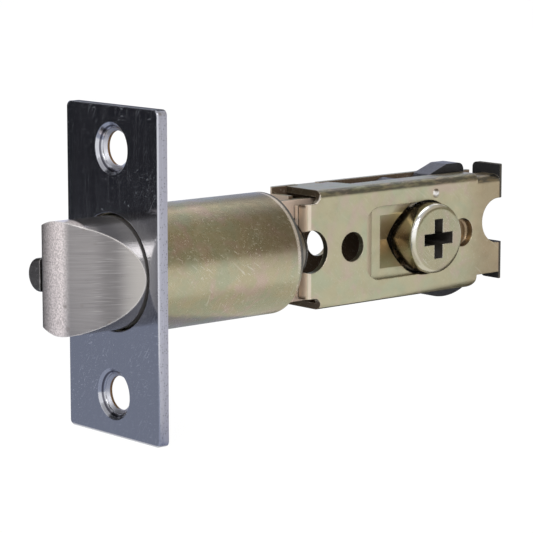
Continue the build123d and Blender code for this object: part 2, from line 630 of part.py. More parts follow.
def deadlock_plunger():
    """Round plunger with a flat beside the bolt's flat, and a nub that holds the pawl out."""
    bar = rod_x(PLUNGER_R, PLUNGER_TIP_X, PLUNGER_REAR_X, PLUNGER_CENTRE_Y)
    bar &= block(PLUNGER_TIP_X, PLUNGER_REAR_X, PLUNGER_FLAT_Y, TUBE_R, -TUBE_R, TUBE_R)
    tip = bar.faces().sort_by(Axis.X)[0].edges().filter_by(GeomType.CIRCLE)
    bar = fillet(tip, PLUNGER_TIP_ROUND)
    nub_y = PAWL_INNER_Y - LOOSE_GAP
    return bar + block(PLUNGER_REAR_X - NUB_LENGTH, PLUNGER_REAR_X, nub_y - NUB_THICKNESS, nub_y,
                       PLUNGER_R / 2, PAWL_TOP_Z)


def deadlock_pawl():
    """Small pawl that drops behind the bolt's lug when the plunger is held in."""
    tip_x = PAWL_PIVOT_X - PAWL_REACH
    arm = block(tip_x, PAWL_PIVOT_X, PAWL_INNER_Y, PAWL_INNER_Y + PAWL_ARM, PAWL_BOTTOM_Z, PAWL_TOP_Z)
    pawl = arm + rod_z(PAWL_EYE_R, PAWL_BOTTOM_Z, PAWL_TOP_Z, PAWL_PIVOT_X, PAWL_PIVOT_Y)
    return pawl - rod_z(PAWL_PIN_D / 2 + RUNNING_GAP, 0, TUBE_R, PAWL_PIVOT_X, PAWL_PIVOT_Y)


def pawl_pin():
    """Pivot pin of the pawl, held in the tube's wall."""
    top = sqrt(TUBE_R**2 - (PAWL_PIVOT_Y + PAWL_PIN_D / 2)**2)
    return rod_z(PAWL_PIN_D / 2, PAWL_BOTTOM_Z - RUNNING_GAP, top - PRESS_GAP, PAWL_PIVOT_X, PAWL_PIVOT_Y)


def pawl_spring():
    """Torsion coil on the pawl's pin."""
    low = PAWL_TOP_Z + RUNNING_GAP
    high = low + (PAWL_SPRING_TURNS + 1) * PAWL_SPRING_WIRE * 1.1
    spring = Rot(0, -90, 0) * coil(PAWL_SPRING_R, PAWL_SPRING_WIRE, low, high, PAWL_SPRING_TURNS)
    return Pos(PAWL_PIVOT_X, PAWL_PIVOT_Y, 0) * spring


def cross_socket():
    """Cross-shaped socket right through the hub."""
    y0 = HUB_FACE_Y - OVERCUT
    y1 = HUB_FAR_Y + OVERCUT
    arm = CROSS_ARM / 2
    span = CROSS_SPAN / 2
    upright = block(BACKSET - arm, BACKSET + arm, y0, y1, -span, span)
    level = block(BACKSET - span, BACKSET + span, y0, y1, -arm, arm)
    return upright + level


def seat_section(y0, y1, gap):
    """Double-D seat of the cam on the hub."""
    flats = HUB_SEAT_FLATS / 2 + gap
    return rod_y(HUB_SEAT_D / 2 + gap, y0, y1, BACKSET, 0) & block(0, 2 * BACKSET, y0, y1, -flats, flats)


def drive_hub():
    """Turned hub with a rounded face, a seat for the cam, a far journal and a ring groove."""
    barrel = rod_y(HUB_D / 2, HUB_FACE_Y, HUB_BARREL_END_Y, BACKSET, 0)
    rim = barrel.edges().filter_by(GeomType.CIRCLE).sort_by(Axis.Y)[0]
    hub = fillet(rim, HUB_EDGE_R)
    hub += rod_y(HUB_SEAT_D / 2, HUB_BARREL_END_Y, CAM_NEAR_Y, BACKSET, 0)
    journal_y = (CAM_FAR_Y + COVER_INNER_Y) / 2
    hub += seat_section(CAM_NEAR_Y, journal_y, 0)
    hub += rod_y(HUB_JOURNAL_D / 2, journal_y, HUB_FAR_Y, BACKSET, 0)
    ring_y = FAR_Y + SEAM_GAP
    groove = rod_y(HUB_D, ring_y, ring_y + RING_THICKNESS + PRESS_GAP, BACKSET, 0)
    groove -= rod_y(HUB_JOURNAL_D / 2 - RING_GROOVE_DEPTH, ring_y - OVERCUT, HUB_FAR_Y, BACKSET, 0)
    return hub - groove - cross_socket()


def hub_retaining_ring():
    """Open ring in the hub's far groove."""
    y0 = FAR_Y + SEAM_GAP
    y1 = y0 + RING_THICKNESS
    ring = rod_y(RING_D / 2, y0, y1, BACKSET, 0)
    ring -= rod_y(HUB_JOURNAL_D / 2 - RING_GROOVE_DEPTH + PRESS_GAP, y0 - OVERCUT, y1 + OVERCUT, BACKSET, 0)
    half_gap = RING_D * tan(radians(RING_GAP_DEGREES / 2))
    mouth = [(BACKSET, 0), (BACKSET - half_gap, -RING_D), (BACKSET + half_gap, -RING_D)]
    return ring - slab_xz(mouth, y0 - OVERCUT, y1 + OVERCUT)


def retractor_cam():
    """Cam plate: ring on the hub, fork for the drive pin, lower lobe and the rear hump."""
    y0 = CAM_NEAR_Y
    y1 = CAM_FAR_Y
    cam = rod_y(CAM_RING_D / 2, y0, y1, BACKSET, 0)
    pin_r = DRIVE_PIN_D / 2
    drift = slot_drift()
    slot_half = pin_r + drift + LOOSE_GAP
    fork_half = slot_half + FORK_WALL
    slot_floor = DRIVE_PIN_Z - pin_r - LOOSE_GAP
    turn = Pos(BACKSET, 0, 0) * Rot(0, -CAM_HALF_TURN, 0)
    fork = block(-fork_half, fork_half, y0, y1, 0, FORK_TIP_R) & rod_y(FORK_TIP_R, y0, y1, 0, 0)
    slot = block(-slot_half, slot_half, y0 - OVERCUT, y1 + OVERCUT, slot_floor, FORK_TIP_R + OVERCUT)
    cam += turn * fork
    cam += cam_lobe(y0, y1)
    hump = [
        (BACKSET, 0),
        (BACKSET + HUMP_FRONT, CASE_TOP_Z),
        (BACKSET + HUMP_RIDGE, HUMP_TOP_Z),
        (BACKSET + HUMP_REAR, HUMP_TOP_Z),
        (BACKSET + HUMP_REAR, CASE_TOP_Z - BODY_SHEET),
    ]
    tooth = slab_xz(hump, y0, y1)
    cam += fillet(edges_at(tooth, Axis.Y, BACKSET + HUMP_REAR, HUMP_TOP_Z), HUMP_REAR_R)
    return cam - turn * slot - seat_section(y0 - OVERCUT, y1 + OVERCUT, PRESS_GAP)


def cam_lobe(y0, y1):
    """Lower rear lobe of the cam: a wedge from the hub's axis with a round rim."""
    reach = 2
    wedge = [
        (BACKSET, 0),
        (BACKSET + reach * LOBE_FRONT, -reach * CASE_TOP_Z),
        (BACKSET + reach * LOBE_REAR, -reach * CASE_TOP_Z),
    ]
    rim = rod_y(LOBE_R, y0, y1, DIMPLE_X, LOBE_CENTRE_Z)
    return rim & slab_xz(wedge, y0, y1)


def slot_drift():
    """Most that the pin strays across the cam's slot while the cam turns in step with the bolt."""
    worst = 0
    for step in range(1, 50):
        x = HALF_TRAVEL * step / 50
        true_angle = degrees(atan2(x, DRIVE_PIN_Z))
        even_angle = CAM_HALF_TURN * x / HALF_TRAVEL
        reach = sqrt(x**2 + DRIVE_PIN_Z**2)
        worst = max(worst, reach * sin(radians(true_angle - even_angle)))
    return worst


def bolt_spring():
    """Compression spring between the bolt and the end plug."""
    start = BOLT_BODY_LENGTH + RUNNING_GAP
    end = PLUG_FRONT_X - RUNNING_GAP
    return coil(BOLT_SPRING_R, BOLT_SPRING_WIRE, start, end, BOLT_SPRING_TURNS)


def plunger_spring():
    """Compression spring between the plunger and the end plug."""
    start = PLUNGER_REAR_X + RUNNING_GAP
    end = PLUG_FRONT_X - RUNNING_GAP
    return coil(PLUNGER_SPRING_R, PLUNGER_SPRING_WIRE, start, end, PLUNGER_SPRING_TURNS, PLUNGER_SPRING_Y)


nodes = {
    "faceplate": faceplate(),
    "backing_plate": backing_plate(),
    "barrel_tube": barrel_tube(),
    "barrel_end_plug": barrel_end_plug(),
    "plug_pin": plug_pin(),
    "case_body": case_body(),
    "case_cover": case_cover(),
    "latch_bolt": latch_bolt(),
    "drawbar_yoke": drawbar_yoke(),
    "yoke_pin": yoke_pin(),
    "drive_pin": drive_pin(),
    "bolt_spring": bolt_spring(),
    "deadlock_plunger": deadlock_plunger(),
    "plunger_spring": plunger_spring(),
    "deadlock_pawl": deadlock_pawl(),
    "pawl_pin": pawl_pin(),
    "pawl_spring": pawl_spring(),
    "drive_hub": drive_hub(),
    "hub_retaining_ring": hub_retaining_ring(),
    "retractor_cam": retractor_cam(),
}

os.makedirs("parts", exist_ok=True)
for name, solid in nodes.items():
    export_step(solid, f"parts/{name}.step")
    print(name, round(solid.volume, 1))
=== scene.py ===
# %% [markdown]
# # A tubular deadlatch in plated and satin steel
# A deadlatch sits in the edge of a door. A bevelled bolt springs out through an oblong faceplate, and a
# rounded plunger beside it stops the bolt from being pushed back. Behind the plates come a plated
# barrel and a folded case, where a hub with a cross-shaped socket turns a cam that pulls the bolt in.
# The shapes come from the CAD model, so this lesson is about light and finish: how to make plain solids
# look like brushed, plated, sheared and sintered metal.

# %% Load the CAD model
import bpy
import math
from collections import namedtuple
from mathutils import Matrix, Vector


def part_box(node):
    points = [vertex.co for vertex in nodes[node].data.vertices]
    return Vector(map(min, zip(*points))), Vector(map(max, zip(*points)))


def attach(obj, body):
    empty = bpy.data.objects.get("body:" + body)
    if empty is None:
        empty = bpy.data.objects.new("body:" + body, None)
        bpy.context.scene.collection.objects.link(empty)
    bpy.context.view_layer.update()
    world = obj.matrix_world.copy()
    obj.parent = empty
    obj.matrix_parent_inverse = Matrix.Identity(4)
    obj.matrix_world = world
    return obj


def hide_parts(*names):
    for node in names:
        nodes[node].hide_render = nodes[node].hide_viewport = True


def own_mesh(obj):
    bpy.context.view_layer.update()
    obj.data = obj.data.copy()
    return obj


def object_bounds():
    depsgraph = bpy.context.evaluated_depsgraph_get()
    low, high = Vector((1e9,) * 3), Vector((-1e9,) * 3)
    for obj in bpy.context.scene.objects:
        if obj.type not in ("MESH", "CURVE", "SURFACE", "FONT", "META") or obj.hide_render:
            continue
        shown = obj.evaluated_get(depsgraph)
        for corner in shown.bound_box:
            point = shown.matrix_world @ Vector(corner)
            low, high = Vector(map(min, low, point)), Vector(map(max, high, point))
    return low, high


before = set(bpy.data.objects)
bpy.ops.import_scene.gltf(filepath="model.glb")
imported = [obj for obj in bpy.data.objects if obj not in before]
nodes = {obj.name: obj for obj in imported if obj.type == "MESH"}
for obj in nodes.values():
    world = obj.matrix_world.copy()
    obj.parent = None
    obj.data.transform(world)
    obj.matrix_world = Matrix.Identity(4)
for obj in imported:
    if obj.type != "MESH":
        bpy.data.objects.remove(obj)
cad_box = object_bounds()
scene = bpy.context.scene
MM = 0.001


def size_in_mm(box):
    """Length of a box along each axis, in millimetres."""
    return [round((high - low) / MM, 2) for low, high in zip(*box)]


print("pieces:", sorted(nodes))
print("size in mm:", size_in_mm(cad_box))

# %% [markdown]
# ## The camera
# The latch was photographed from a little above, from the bolt's side, with a long lens: its parallel
# edges hardly converge. A camera is easiest to describe as a point that it looks at, two angles and a
# distance. Azimuth turns it about the vertical, and elevation lifts it.

# %% Set up the camera
AZIMUTH = math.radians(-40.81)
ELEVATION = math.radians(8.99)
TARGET = Vector((30.0, -5.48, -1.43)) * MM
DISTANCE = 435.5 * MM
SENSOR_WIDTH = 36
LENS = 166.3
NEAR_CLIP, FAR_CLIP = 0.01, 20


def add_object(name, data):
    """Puts a new object into the scene."""
    thing = bpy.data.objects.new(name, data)
    scene.collection.objects.link(thing)
    return thing


def aim(thing, direction):
    """Turns a camera or a lamp to look along a direction."""
    thing.rotation_mode = "QUATERNION"
    thing.rotation_quaternion = direction.to_track_quat("-Z", "Y")


back = Vector((
    math.sin(AZIMUTH) * math.cos(ELEVATION),
    -math.cos(AZIMUTH) * math.cos(ELEVATION),
    math.sin(ELEVATION),
))
camera_data = bpy.data.cameras.new("studio_camera")
camera_data.sensor_width = SENSOR_WIDTH
camera_data.lens = LENS
camera_data.clip_start = NEAR_CLIP
camera_data.clip_end = FAR_CLIP
camera = add_object("studio_camera", camera_data)
camera.location = TARGET + back * DISTANCE
aim(camera, -back)
scene.camera = camera
print("camera at", [round(v / MM, 1) for v in camera.location])

# %% [markdown]
# ## Small helpers for shader nodes
# A material is a graph. Two helpers keep the graphs short: one adds a node and fills in its sockets, and
# one feeds a socket with another socket or with a plain value. An effect that several finishes share is
# built once as a node group with named sockets and then placed in each material with its own numbers.

# %% Nodes and groups
GRID_STEP = 220
GRID_COLUMNS = 10
GROUP_END = 2400


def add_node(tree, kind, settings=None, **values):
    """Adds a shader node at the next grid place, applies its settings, and fills sockets by name."""
    node = tree.nodes.new("ShaderNode" + kind)
    row, column = divmod(len(tree.nodes), GRID_COLUMNS)
    node.location = (column * GRID_STEP, -row * GRID_STEP)
    for name, value in (settings or {}).items():
        setattr(node, name, value)
    for name, value in values.items():
        node.inputs[name.replace("_", " ")].default_value = value
    return node


def feed(tree, operand, socket):
    """Joins an output socket to an input socket, or writes a plain number, vector or colour into it."""
    if isinstance(operand, bpy.types.NodeSocket):
        tree.links.new(operand, socket)
    else:
        socket.default_value = operand


def new_group(name, inputs, outputs):
    """Opens a shader node group. An input is (name, kind, first value) and an output (name, kind)."""
    group = bpy.data.node_groups.new(name, "ShaderNodeTree")
    for socket_name, kind, first in inputs:
        socket = group.interface.new_socket(socket_name, in_out="INPUT", socket_type="NodeSocket" + kind)
        socket.default_value = first
    for socket_name, kind in outputs:
        group.interface.new_socket(socket_name, in_out="OUTPUT", socket_type="NodeSocket" + kind)
    start = group.nodes.new("NodeGroupInput")
    end = group.nodes.new("NodeGroupOutput")
    end.location = (GROUP_END, 0)
    return group, start.outputs, end.inputs


def effect(tree, group, **values):
    """Places a node group with its own values; returns its outputs."""
    return add_node(tree, "Group", {"node_tree": group}, **values).outputs


print("node helpers ready")


# %% Sums, mixes and noise
MIX_FACTOR, MIX_FIRST, MIX_SECOND, MIX_RESULT = 0, 6, 7, 2


def math_node(tree, operation, *operands, clamp=False):
    """Adds a math node; each operand is a socket or a number."""
    node = add_node(tree, "Math", {"operation": operation, "use_clamp": clamp})
    for operand, socket in zip(operands, node.inputs):
        feed(tree, operand, socket)
    return node.outputs[0]


def times(tree, first, second, clamp=False):
    """Product of two values."""
    return math_node(tree, "MULTIPLY", first, second, clamp=clamp)


def plus(tree, first, second, clamp=False):
    """Sum of two values."""
    return math_node(tree, "ADD", first, second, clamp=clamp)


def minus(tree, first, second, clamp=False):
    """Difference of two values."""
    return math_node(tree, "SUBTRACT", first, second, clamp=clamp)


def flip(tree, mask):
    """What a mask leaves over."""
    return minus(tree, 1.0, mask)


def most(tree, largest, *others):
    """Largest of some values."""
    for other in others:
        largest = math_node(tree, "MAXIMUM", largest, other)
    return largest


def dot_product(tree, first, second):
    """Share of one vector that lies along another."""
    node = add_node(tree, "VectorMath", {"operation": "DOT_PRODUCT"})
    feed(tree, first, node.inputs[0])
    feed(tree, second, node.inputs[1])
    return node.outputs["Value"]


def mix_colour(tree, factor, first, second):
    """Adds a colour mix; each operand is a socket or a plain value."""
    node = add_node(tree, "Mix", {"data_type": "RGBA"})
    feed(tree, factor, node.inputs[MIX_FACTOR])
    feed(tree, first, node.inputs[MIX_FIRST])
    feed(tree, second, node.inputs[MIX_SECOND])
    return node.outputs[MIX_RESULT]


def lay_over(tree, surface, mask, share, colour):
    """Lays a share of a colour over a surface where a mask is."""
    return mix_colour(tree, times(tree, mask, share), surface, colour)


def ramp(tree, source, *stops):
    """Adds a colour ramp with stops of (position, grey or colour)."""
    node = add_node(tree, "ValToRGB")
    elements = node.color_ramp.elements
    while len(elements) < len(stops):
        elements.new(0.5)
    for element, (position, colour) in zip(elements, stops):
        element.position = position
        element.color = colour if isinstance(colour, tuple) else (colour, colour, colour, 1)
    feed(tree, source, node.inputs["Fac"])
    return node.outputs["Color"]


def in_millimetres(tree, stretch=(1, 1, 1)):
    """Surface coordinates of a piece in millimetres, with a stretch along each axis."""
    coordinates = add_node(tree, "TexCoord")
    mapping = add_node(tree, "Mapping", Scale=[s / MM for s in stretch])
    feed(tree, coordinates.outputs["Object"], mapping.inputs["Vector"])
    return mapping.outputs["Vector"]


def noise(tree, stretch, **values):
    """Noise over a piece; the stretch says how many features fit in a millimetre of each axis."""
    node = add_node(tree, "TexNoise", Scale=1.0, **values)
    feed(tree, in_millimetres(tree, stretch), node.inputs["Vector"])
    return node.outputs["Fac"]


def scaled_colour(colour, factor):
    """Brighter or darker colour, kept below full white."""
    return tuple(min(1.0, c * factor) for c in colour[:3]) + (1,)


print("value helpers ready")

# %% [markdown]
# ## Shared effect: fine scratches
# Handled metal carries short hairline scratches that run every way. One noise that is stretched along a
# line makes parallel streaks, so three of them at different angles are cut to thin lines and added up.
# A slow noise then fades them in patches, since nothing is scratched evenly.

# %% Scratches group
SCRATCH_WIDTH = 0.3 * MM
SCRATCH_LENGTH = 3.6 * MM
SCRATCH_TURNS = (0.6, 0, 0), (0, -0.9, 0), (1.2, 0.9, 0)


def scratches_group():
    group, start, end = new_group(
        "fine_scratches",
        [("Density", "Float", 0.5), ("Patchiness", "Float", 0.5)],
        [("Mask", "Float")],
    )
    coordinates = add_node(group, "TexCoord")
    lines = []
    for turn in SCRATCH_TURNS:
        mapping = add_node(group, "Mapping", {"vector_type": "TEXTURE"}, Rotation=turn,
                           Scale=(SCRATCH_WIDTH, SCRATCH_WIDTH, SCRATCH_LENGTH))
        feed(group, coordinates.outputs["Object"], mapping.inputs["Vector"])
        streaks = add_node(group, "TexNoise", Scale=1.0, Detail=1.0, Roughness=0.4)
        feed(group, mapping.outputs["Vector"], streaks.inputs["Vector"])
        lines.append(ramp(group, streaks.outputs["Fac"], (0.0, 0.0), (0.66, 0.0), (0.74, 1.0)))
    patches = ramp(group, noise(group, (0.12, 0.12, 0.12), Detail=2.0), (0.38, 0.0), (0.62, 1.0))
    kept = most(group, patches, flip(group, start["Patchiness"]))
    patched = times(group, most(group, *lines), kept)
    feed(group, times(group, patched, start["Density"]), end["Mask"])
    return group


SCRATCHES = scratches_group()
print("made", SCRATCHES.name)

# %% [markdown]
# ## Shared effect: worn edges with a painted highlight
# Every folded, sawn or turned edge is a little round, and that roundness catches light as a thin line.
# The Bevel node averages the surface direction over a small radius. Where that average leaves the true
# direction, there is an edge, so the difference serves as a mask, and the averaged direction itself makes
# sharp CAD edges shine as if they were broken. The finishes paint a pale colour on this mask, partly for
# wear and partly as a painted highlight.

# %% Worn edges group
EDGE_SAMPLES = 4
EDGE_GAIN = 5.0


def worn_and_lit_edges_group():
    group, start, end = new_group(
        "worn_and_lit_edges",
        [("Radius", "Float", 0.25 * MM), ("Breakup", "Float", 0.5)],
        [("Mask", "Float"), ("Normal", "Vector")],
    )
    bevel = add_node(group, "Bevel", {"samples": EDGE_SAMPLES})
    feed(group, start["Radius"], bevel.inputs["Radius"])
    geometry = add_node(group, "NewGeometry")
    aligned = dot_product(group, bevel.outputs["Normal"], geometry.outputs["Normal"])
    strong = times(group, flip(group, aligned), EDGE_GAIN, clamp=True)
    gaps = ramp(group, noise(group, (0.9, 0.9, 0.9), Detail=3.0), (0.35, 0.0), (0.6, 1.0))
    kept = most(group, gaps, flip(group, start["Breakup"]))
    feed(group, times(group, strong, kept), end["Mask"])
    feed(group, bevel.outputs["Normal"], end["Normal"])
    return group


WORN_AND_LIT_EDGES = worn_and_lit_edges_group()
print("made", WORN_AND_LIT_EDGES.name)

# %% [markdown]
# ## Shared effect: brushed lines
# Brushing with an abrasive belt leaves fine parallel lines. They are noise that is drawn out very long in
# one direction. Two widths are mixed, because a belt has fine grit with a few coarse grains.

# %% Brushed lines groups
DRAWN_OUT = 0.16
ACROSS = 5.0
COARSE_GRAIN = 0.3


def brushed_group(name, stretch):
    group, start, end = new_group(name, [("Contrast", "Float", 0.5)], [("Lines", "Float")])
    fine = noise(group, stretch, Detail=2.0, Roughness=0.6)
    coarse = noise(group, [s * COARSE_GRAIN for s in stretch], Detail=3.0, Roughness=0.7)
    centred = minus(group, plus(group, fine, coarse), 1.0)
    contrasted = times(group, centred, start["Contrast"])
    feed(group, plus(group, contrasted, 0.5, clamp=True), end["Lines"])
    return group


BRUSHED_ALONG = brushed_group("brushed_along_the_latch", (DRAWN_OUT, ACROSS, ACROSS))
BRUSHED_LEVEL = brushed_group("brushed_in_level_lines", (DRAWN_OUT, DRAWN_OUT, ACROSS))
BRUSHED_UPRIGHT = brushed_group("brushed_in_upright_lines", (ACROSS, ACROSS, DRAWN_OUT))
print("made", BRUSHED_ALONG.name, BRUSHED_LEVEL.name, "and", BRUSHED_UPRIGHT.name)

# %% [markdown]
# ## Shared effect: pits and specks
# Sheared edges, cast metal and old plating are dotted with tiny pits. A cell texture gives each cell a
# distance from its centre, and only the closest part of some cells is kept as a dot.


# %% Specks group
def specks_group():
    group, start, end = new_group(
        "pits_and_specks",
        [("Per Millimetre", "Float", 1.5), ("Amount", "Float", 0.4)],
        [("Mask", "Float")],
    )
    cells = add_node(group, "TexVoronoi", Randomness=1.0)
    feed(group, in_millimetres(group), cells.inputs["Vector"])
    feed(group, start["Per Millimetre"], cells.inputs["Scale"])
    dots = ramp(group, cells.outputs["Distance"], (0.08, 1.0), (0.3, 0.0))
    chance = add_node(group, "SeparateColor")
    feed(group, cells.outputs["Color"], chance.inputs["Color"])
    chosen = math_node(group, "LESS_THAN", chance.outputs["Red"], start["Amount"])
    feed(group, times(group, dots, chosen), end["Mask"])
    return group


SPECKS = specks_group()
print("made", SPECKS.name)

# %% [markdown]
# ## Shared effect: chromate tint
# Zinc plating that was dipped in a yellow chromate bath looks beige-gold, with faint clouds of green and
# pink where the film is thinner or thicker, like oil on water. Two slow noises choose between the tints,
# so the film drifts from one hue to the next over several millimetres. A third one, not quite as slow,
# gives clouds for the roughness.

# %% Chromate group
CLOUD_BANDS = (0.16, 0.46, 0.64), (0.21, 0.5, 0.66), (0.55, 0.4, 0.7)
CLOUD_SHIFT = Vector((13.7, 5.1, 8.3))
CLOUD_STRETCH = 1.3


def chromate_group():
    group, start, end = new_group(
        "chromate_tint",
        [
            ("Gold", "Color", (0.6, 0.5, 0.3, 1)),
            ("Green Tint", "Color", (0.5, 0.52, 0.34, 1)),
            ("Pink Tint", "Color", (0.64, 0.48, 0.38, 1)),
            ("Strength", "Float", 0.7),
        ],
        [("Color", "Color"), ("Clouds", "Float")],
    )
    masks = []
    for index, (size, low, high) in enumerate(CLOUD_BANDS):
        shifted = add_node(group, "VectorMath", {"operation": "ADD"})
        feed(group, in_millimetres(group, (size, size * CLOUD_STRETCH, size)), shifted.inputs[0])
        feed(group, CLOUD_SHIFT * index, shifted.inputs[1])
        clouds = add_node(group, "TexNoise", Scale=1.0, Detail=4.0, Roughness=0.55, Distortion=0.6)
        feed(group, shifted.outputs["Vector"], clouds.inputs["Vector"])
        band = ramp(group, clouds.outputs["Fac"], (low, 0.0), (high, 1.0))
        masks.append(times(group, band, start["Strength"]))
    greener, pinker, cloudy = masks
    tinted = mix_colour(group, greener, start["Gold"], start["Green Tint"])
    feed(group, mix_colour(group, pinker, tinted, start["Pink Tint"]), end["Color"])
    feed(group, cloudy, end["Clouds"])
    return group


CHROMATE = chromate_group()
print("made", CHROMATE.name)

# %% [markdown]
# ## Shared effect: painted shade in recesses
# Holes, slots and inside corners are painted darker, as painted shade. The Ambient Occlusion node tells
# how much of a point's surroundings is close by, so the closed-in places can be darkened.

# %% Recess group
RECESS_SAMPLES = 6
RECESS_GAIN = 4.0


def recess_group():
    group, start, end = new_group(
        "dark_recesses",
        [("Reach", "Float", 3 * MM), ("Threshold", "Float", 0.45), ("Strength", "Float", 1.0)],
        [("Mask", "Float")],
    )
    closeness = add_node(group, "AmbientOcclusion", {"samples": RECESS_SAMPLES, "only_local": True})
    feed(group, start["Reach"], closeness.inputs["Distance"])
    beyond = minus(group, flip(group, closeness.outputs["AO"]), start["Threshold"])
    steep = times(group, beyond, RECESS_GAIN, clamp=True)
    feed(group, times(group, steep, start["Strength"]), end["Mask"])
    return group


RECESS = recess_group()
print("made", RECESS.name)

# %% [markdown]
# ## Shared effect: here and not there
# Much of what makes metal look used is local, and so is much of the painted light and shade: the tip of
# a bolt, the end of a barrel, the inner side of a fold. Two small groups answer where a point is. One
# measures along a direction in millimetres and fades from one place to another; the other asks which way
# the surface faces. Several such limits multiplied give a mask for one spot, and a pair of them on one
# axis makes a window.


# %% Span and facing groups
def where_group(name, source):
    group, start, end = new_group(
        name,
        [("Axis", "Vector", (1, 0, 0)), ("From", "Float", 0.0), ("To", "Float", 1.0)],
        [("Mask", "Float")],
    )
    if source == "Object":
        measured = in_millimetres(group)
    else:
        measured = add_node(group, "TexCoord").outputs[source]
    fade = add_node(group, "MapRange", {"interpolation_type": "SMOOTHSTEP"})
    feed(group, dot_product(group, measured, start["Axis"]), fade.inputs["Value"])
    feed(group, start["From"], fade.inputs["From Min"])
    feed(group, start["To"], fade.inputs["From Max"])
    feed(group, fade.outputs["Result"], end["Mask"])
    return group


SPAN = where_group("fade_along_an_axis", "Object")
FACING = where_group("faces_one_way", "Normal")
ALONG, ASIDE, UP = (1, 0, 0), (0, 1, 0), (0, 0, 1)


def window(group, axis, start, full, last, end):
    """Two limits: a fade in from start to full, and a fade out from last to end."""
    return (group, axis, start, full), (group, axis, end, last)


def where(tree, *limits):
    """Product of masks; each limit is (group, axis, from, to)."""
    total = None
    for group, axis, low, high in limits:
        mask = effect(tree, group, Axis=axis, From=low, To=high)["Mask"]
        total = mask if total is None else times(tree, total, mask)
    return total


print("made", SPAN.name, "and", FACING.name)

# %% [markdown]
# ## A blank metal
# All finishes are metal, so they share one start: a Principled shader with full metallic, an output, and
# the worn and lit edges already in place. Each finish then adds its own colour, roughness and relief. A
# spot that has to show its own colour, whatever stands around it, takes some of the metallic away again.


# %% Blank metal
def new_material(name):
    """New material with an empty node tree; returns both."""
    material = bpy.data.materials.new(name)
    material.use_nodes = True
    material.node_tree.nodes.clear()
    return material, material.node_tree


def show(tree, shader):
    """Joins a shader to the material's output."""
    feed(tree, shader, add_node(tree, "OutputMaterial").inputs["Surface"])


def blank_metal(name, **edge_values):
    """New metal; returns (material, tree, shader's inputs, outputs of the worn and lit edges)."""
    material, tree = new_material(name)
    shader = add_node(tree, "BsdfPrincipled", Metallic=1.0)
    show(tree, shader.outputs["BSDF"])
    return material, tree, shader.inputs, effect(tree, WORN_AND_LIT_EDGES, **edge_values)


def vary_roughness(tree, shader, source, spread, least):
    """Roughness that follows a value over the surface."""
    feed(tree, plus(tree, times(tree, source, spread), least), shader["Roughness"])


def add_relief(tree, shader, edges, height, depth):
    """Puts a bump of a given depth in millimetres over the rounded edges."""
    bump = add_node(tree, "Bump", Strength=1.0, Distance=depth * MM)
    feed(tree, height, bump.inputs["Height"])
    feed(tree, edges["Normal"], bump.inputs["Normal"])
    feed(tree, bump.outputs["Normal"], shader["Normal"])


def dress(material, slot, *names):
    """Gives CAD pieces a material in place of their plain one."""
    for name in names:
        piece = nodes[name]
        piece.data.materials.clear()
        piece.data.materials.append(material)
    print(material.name, "on", ", ".join(names))


print("blank metal ready")

# %% [markdown]
# ## Satin faceplate
# The faceplate is rolled stainless sheet: nearly a mirror, with an upright grain, cloudy patches and
# hairline scratches from handling. Its sheared side is a different surface, dull lavender grey with dots,
# so the piece's own surface direction tells the two apart: the front faces -X and the sides do not. The
# countersinks are cut bright with a darker groove, and the wall of the bolt's opening is brown.

# %% Faceplate and backing plate
CLOUDINESS = 0.14


def plate_finish(name, front_colour, side_colour, roughness):
    material, tree, shader, edges = blank_metal(name, Breakup=0.25)
    side = where(tree, *window(FACING, ALONG, -0.8, -0.4, 0.4, 0.8))
    top = where(tree, (FACING, UP, 0.7, 0.95), (SPAN, UP, 27.5, 28.2))
    cone = where(tree, *window(FACING, ALONG, -0.92, -0.85, -0.6, -0.45))
    groove = where(tree, *window(SPAN, ALONG, 0.4, 0.5, 0.65, 0.8))
    bore = where(tree, (FACING, ASIDE, -0.1, -0.4), (FACING, ALONG, -0.5, -0.25),
                 *window(SPAN, ASIDE, -6.0, -5.0, 5.0, 6.0))
    crescent = where(tree, *window(SPAN, UP, 8.0, 9.0, 10.8, 11.2))
    scratch = effect(tree, SCRATCHES, Density=0.4, Patchiness=0.7)["Mask"]
    specks = effect(tree, SPECKS, Per_Millimetre=1.1, Amount=0.05)["Mask"]
    dots = effect(tree, SPECKS, Per_Millimetre=2.3, Amount=1.0)["Mask"]
    grain = effect(tree, BRUSHED_UPRIGHT, Contrast=1.6)["Lines"]
    clouds = noise(tree, (0.5, 0.5, 0.05), Detail=5.0, Roughness=0.6)

    front = mix_colour(tree, scratch, front_colour, scaled_colour(front_colour, 2.0))
    sides = mix_colour(tree, dots, side_colour, scaled_colour(side_colour, 0.3))
    surface = mix_colour(tree, side, front, sides)
    sunk = mix_colour(tree, groove, (0.60, 0.61, 0.66, 1), (0.15, 0.15, 0.18, 1))
    surface = mix_colour(tree, cone, surface, sunk)
    surface = mix_colour(tree, bore, surface, (0.26, 0.16, 0.085, 1))
    # Painted shade: the top face is painted nearly black.
    surface = mix_colour(tree, top, surface, (0.05, 0.053, 0.065, 1))
    # Paler edges: partly wear, partly a painted highlight.
    surface = lay_over(tree, surface, edges["Mask"], 0.6, scaled_colour(side_colour, 1.35))
    feed(tree, surface, shader["Base Color"])

    matt = most(
        tree,
        times(tree, times(tree, edges["Mask"], crescent), 0.7),
        times(tree, scratch, 0.3),
        times(tree, minus(tree, grain, 0.55, clamp=True), 0.16),
        times(tree, specks, 0.1),
    )
    feed(tree, flip(tree, matt), shader["Metallic"])
    cloudy = plus(tree, times(tree, clouds, CLOUDINESS), roughness - CLOUDINESS / 2)
    rough = plus(tree, cloudy, times(tree, side, 0.28))
    feed(tree, plus(tree, rough, times(tree, scratch, 0.3), clamp=True), shader["Roughness"])
    relief = minus(tree, times(tree, specks, -0.35), times(tree, dots, side))
    add_relief(tree, shader, edges, relief, 0.03)
    return material


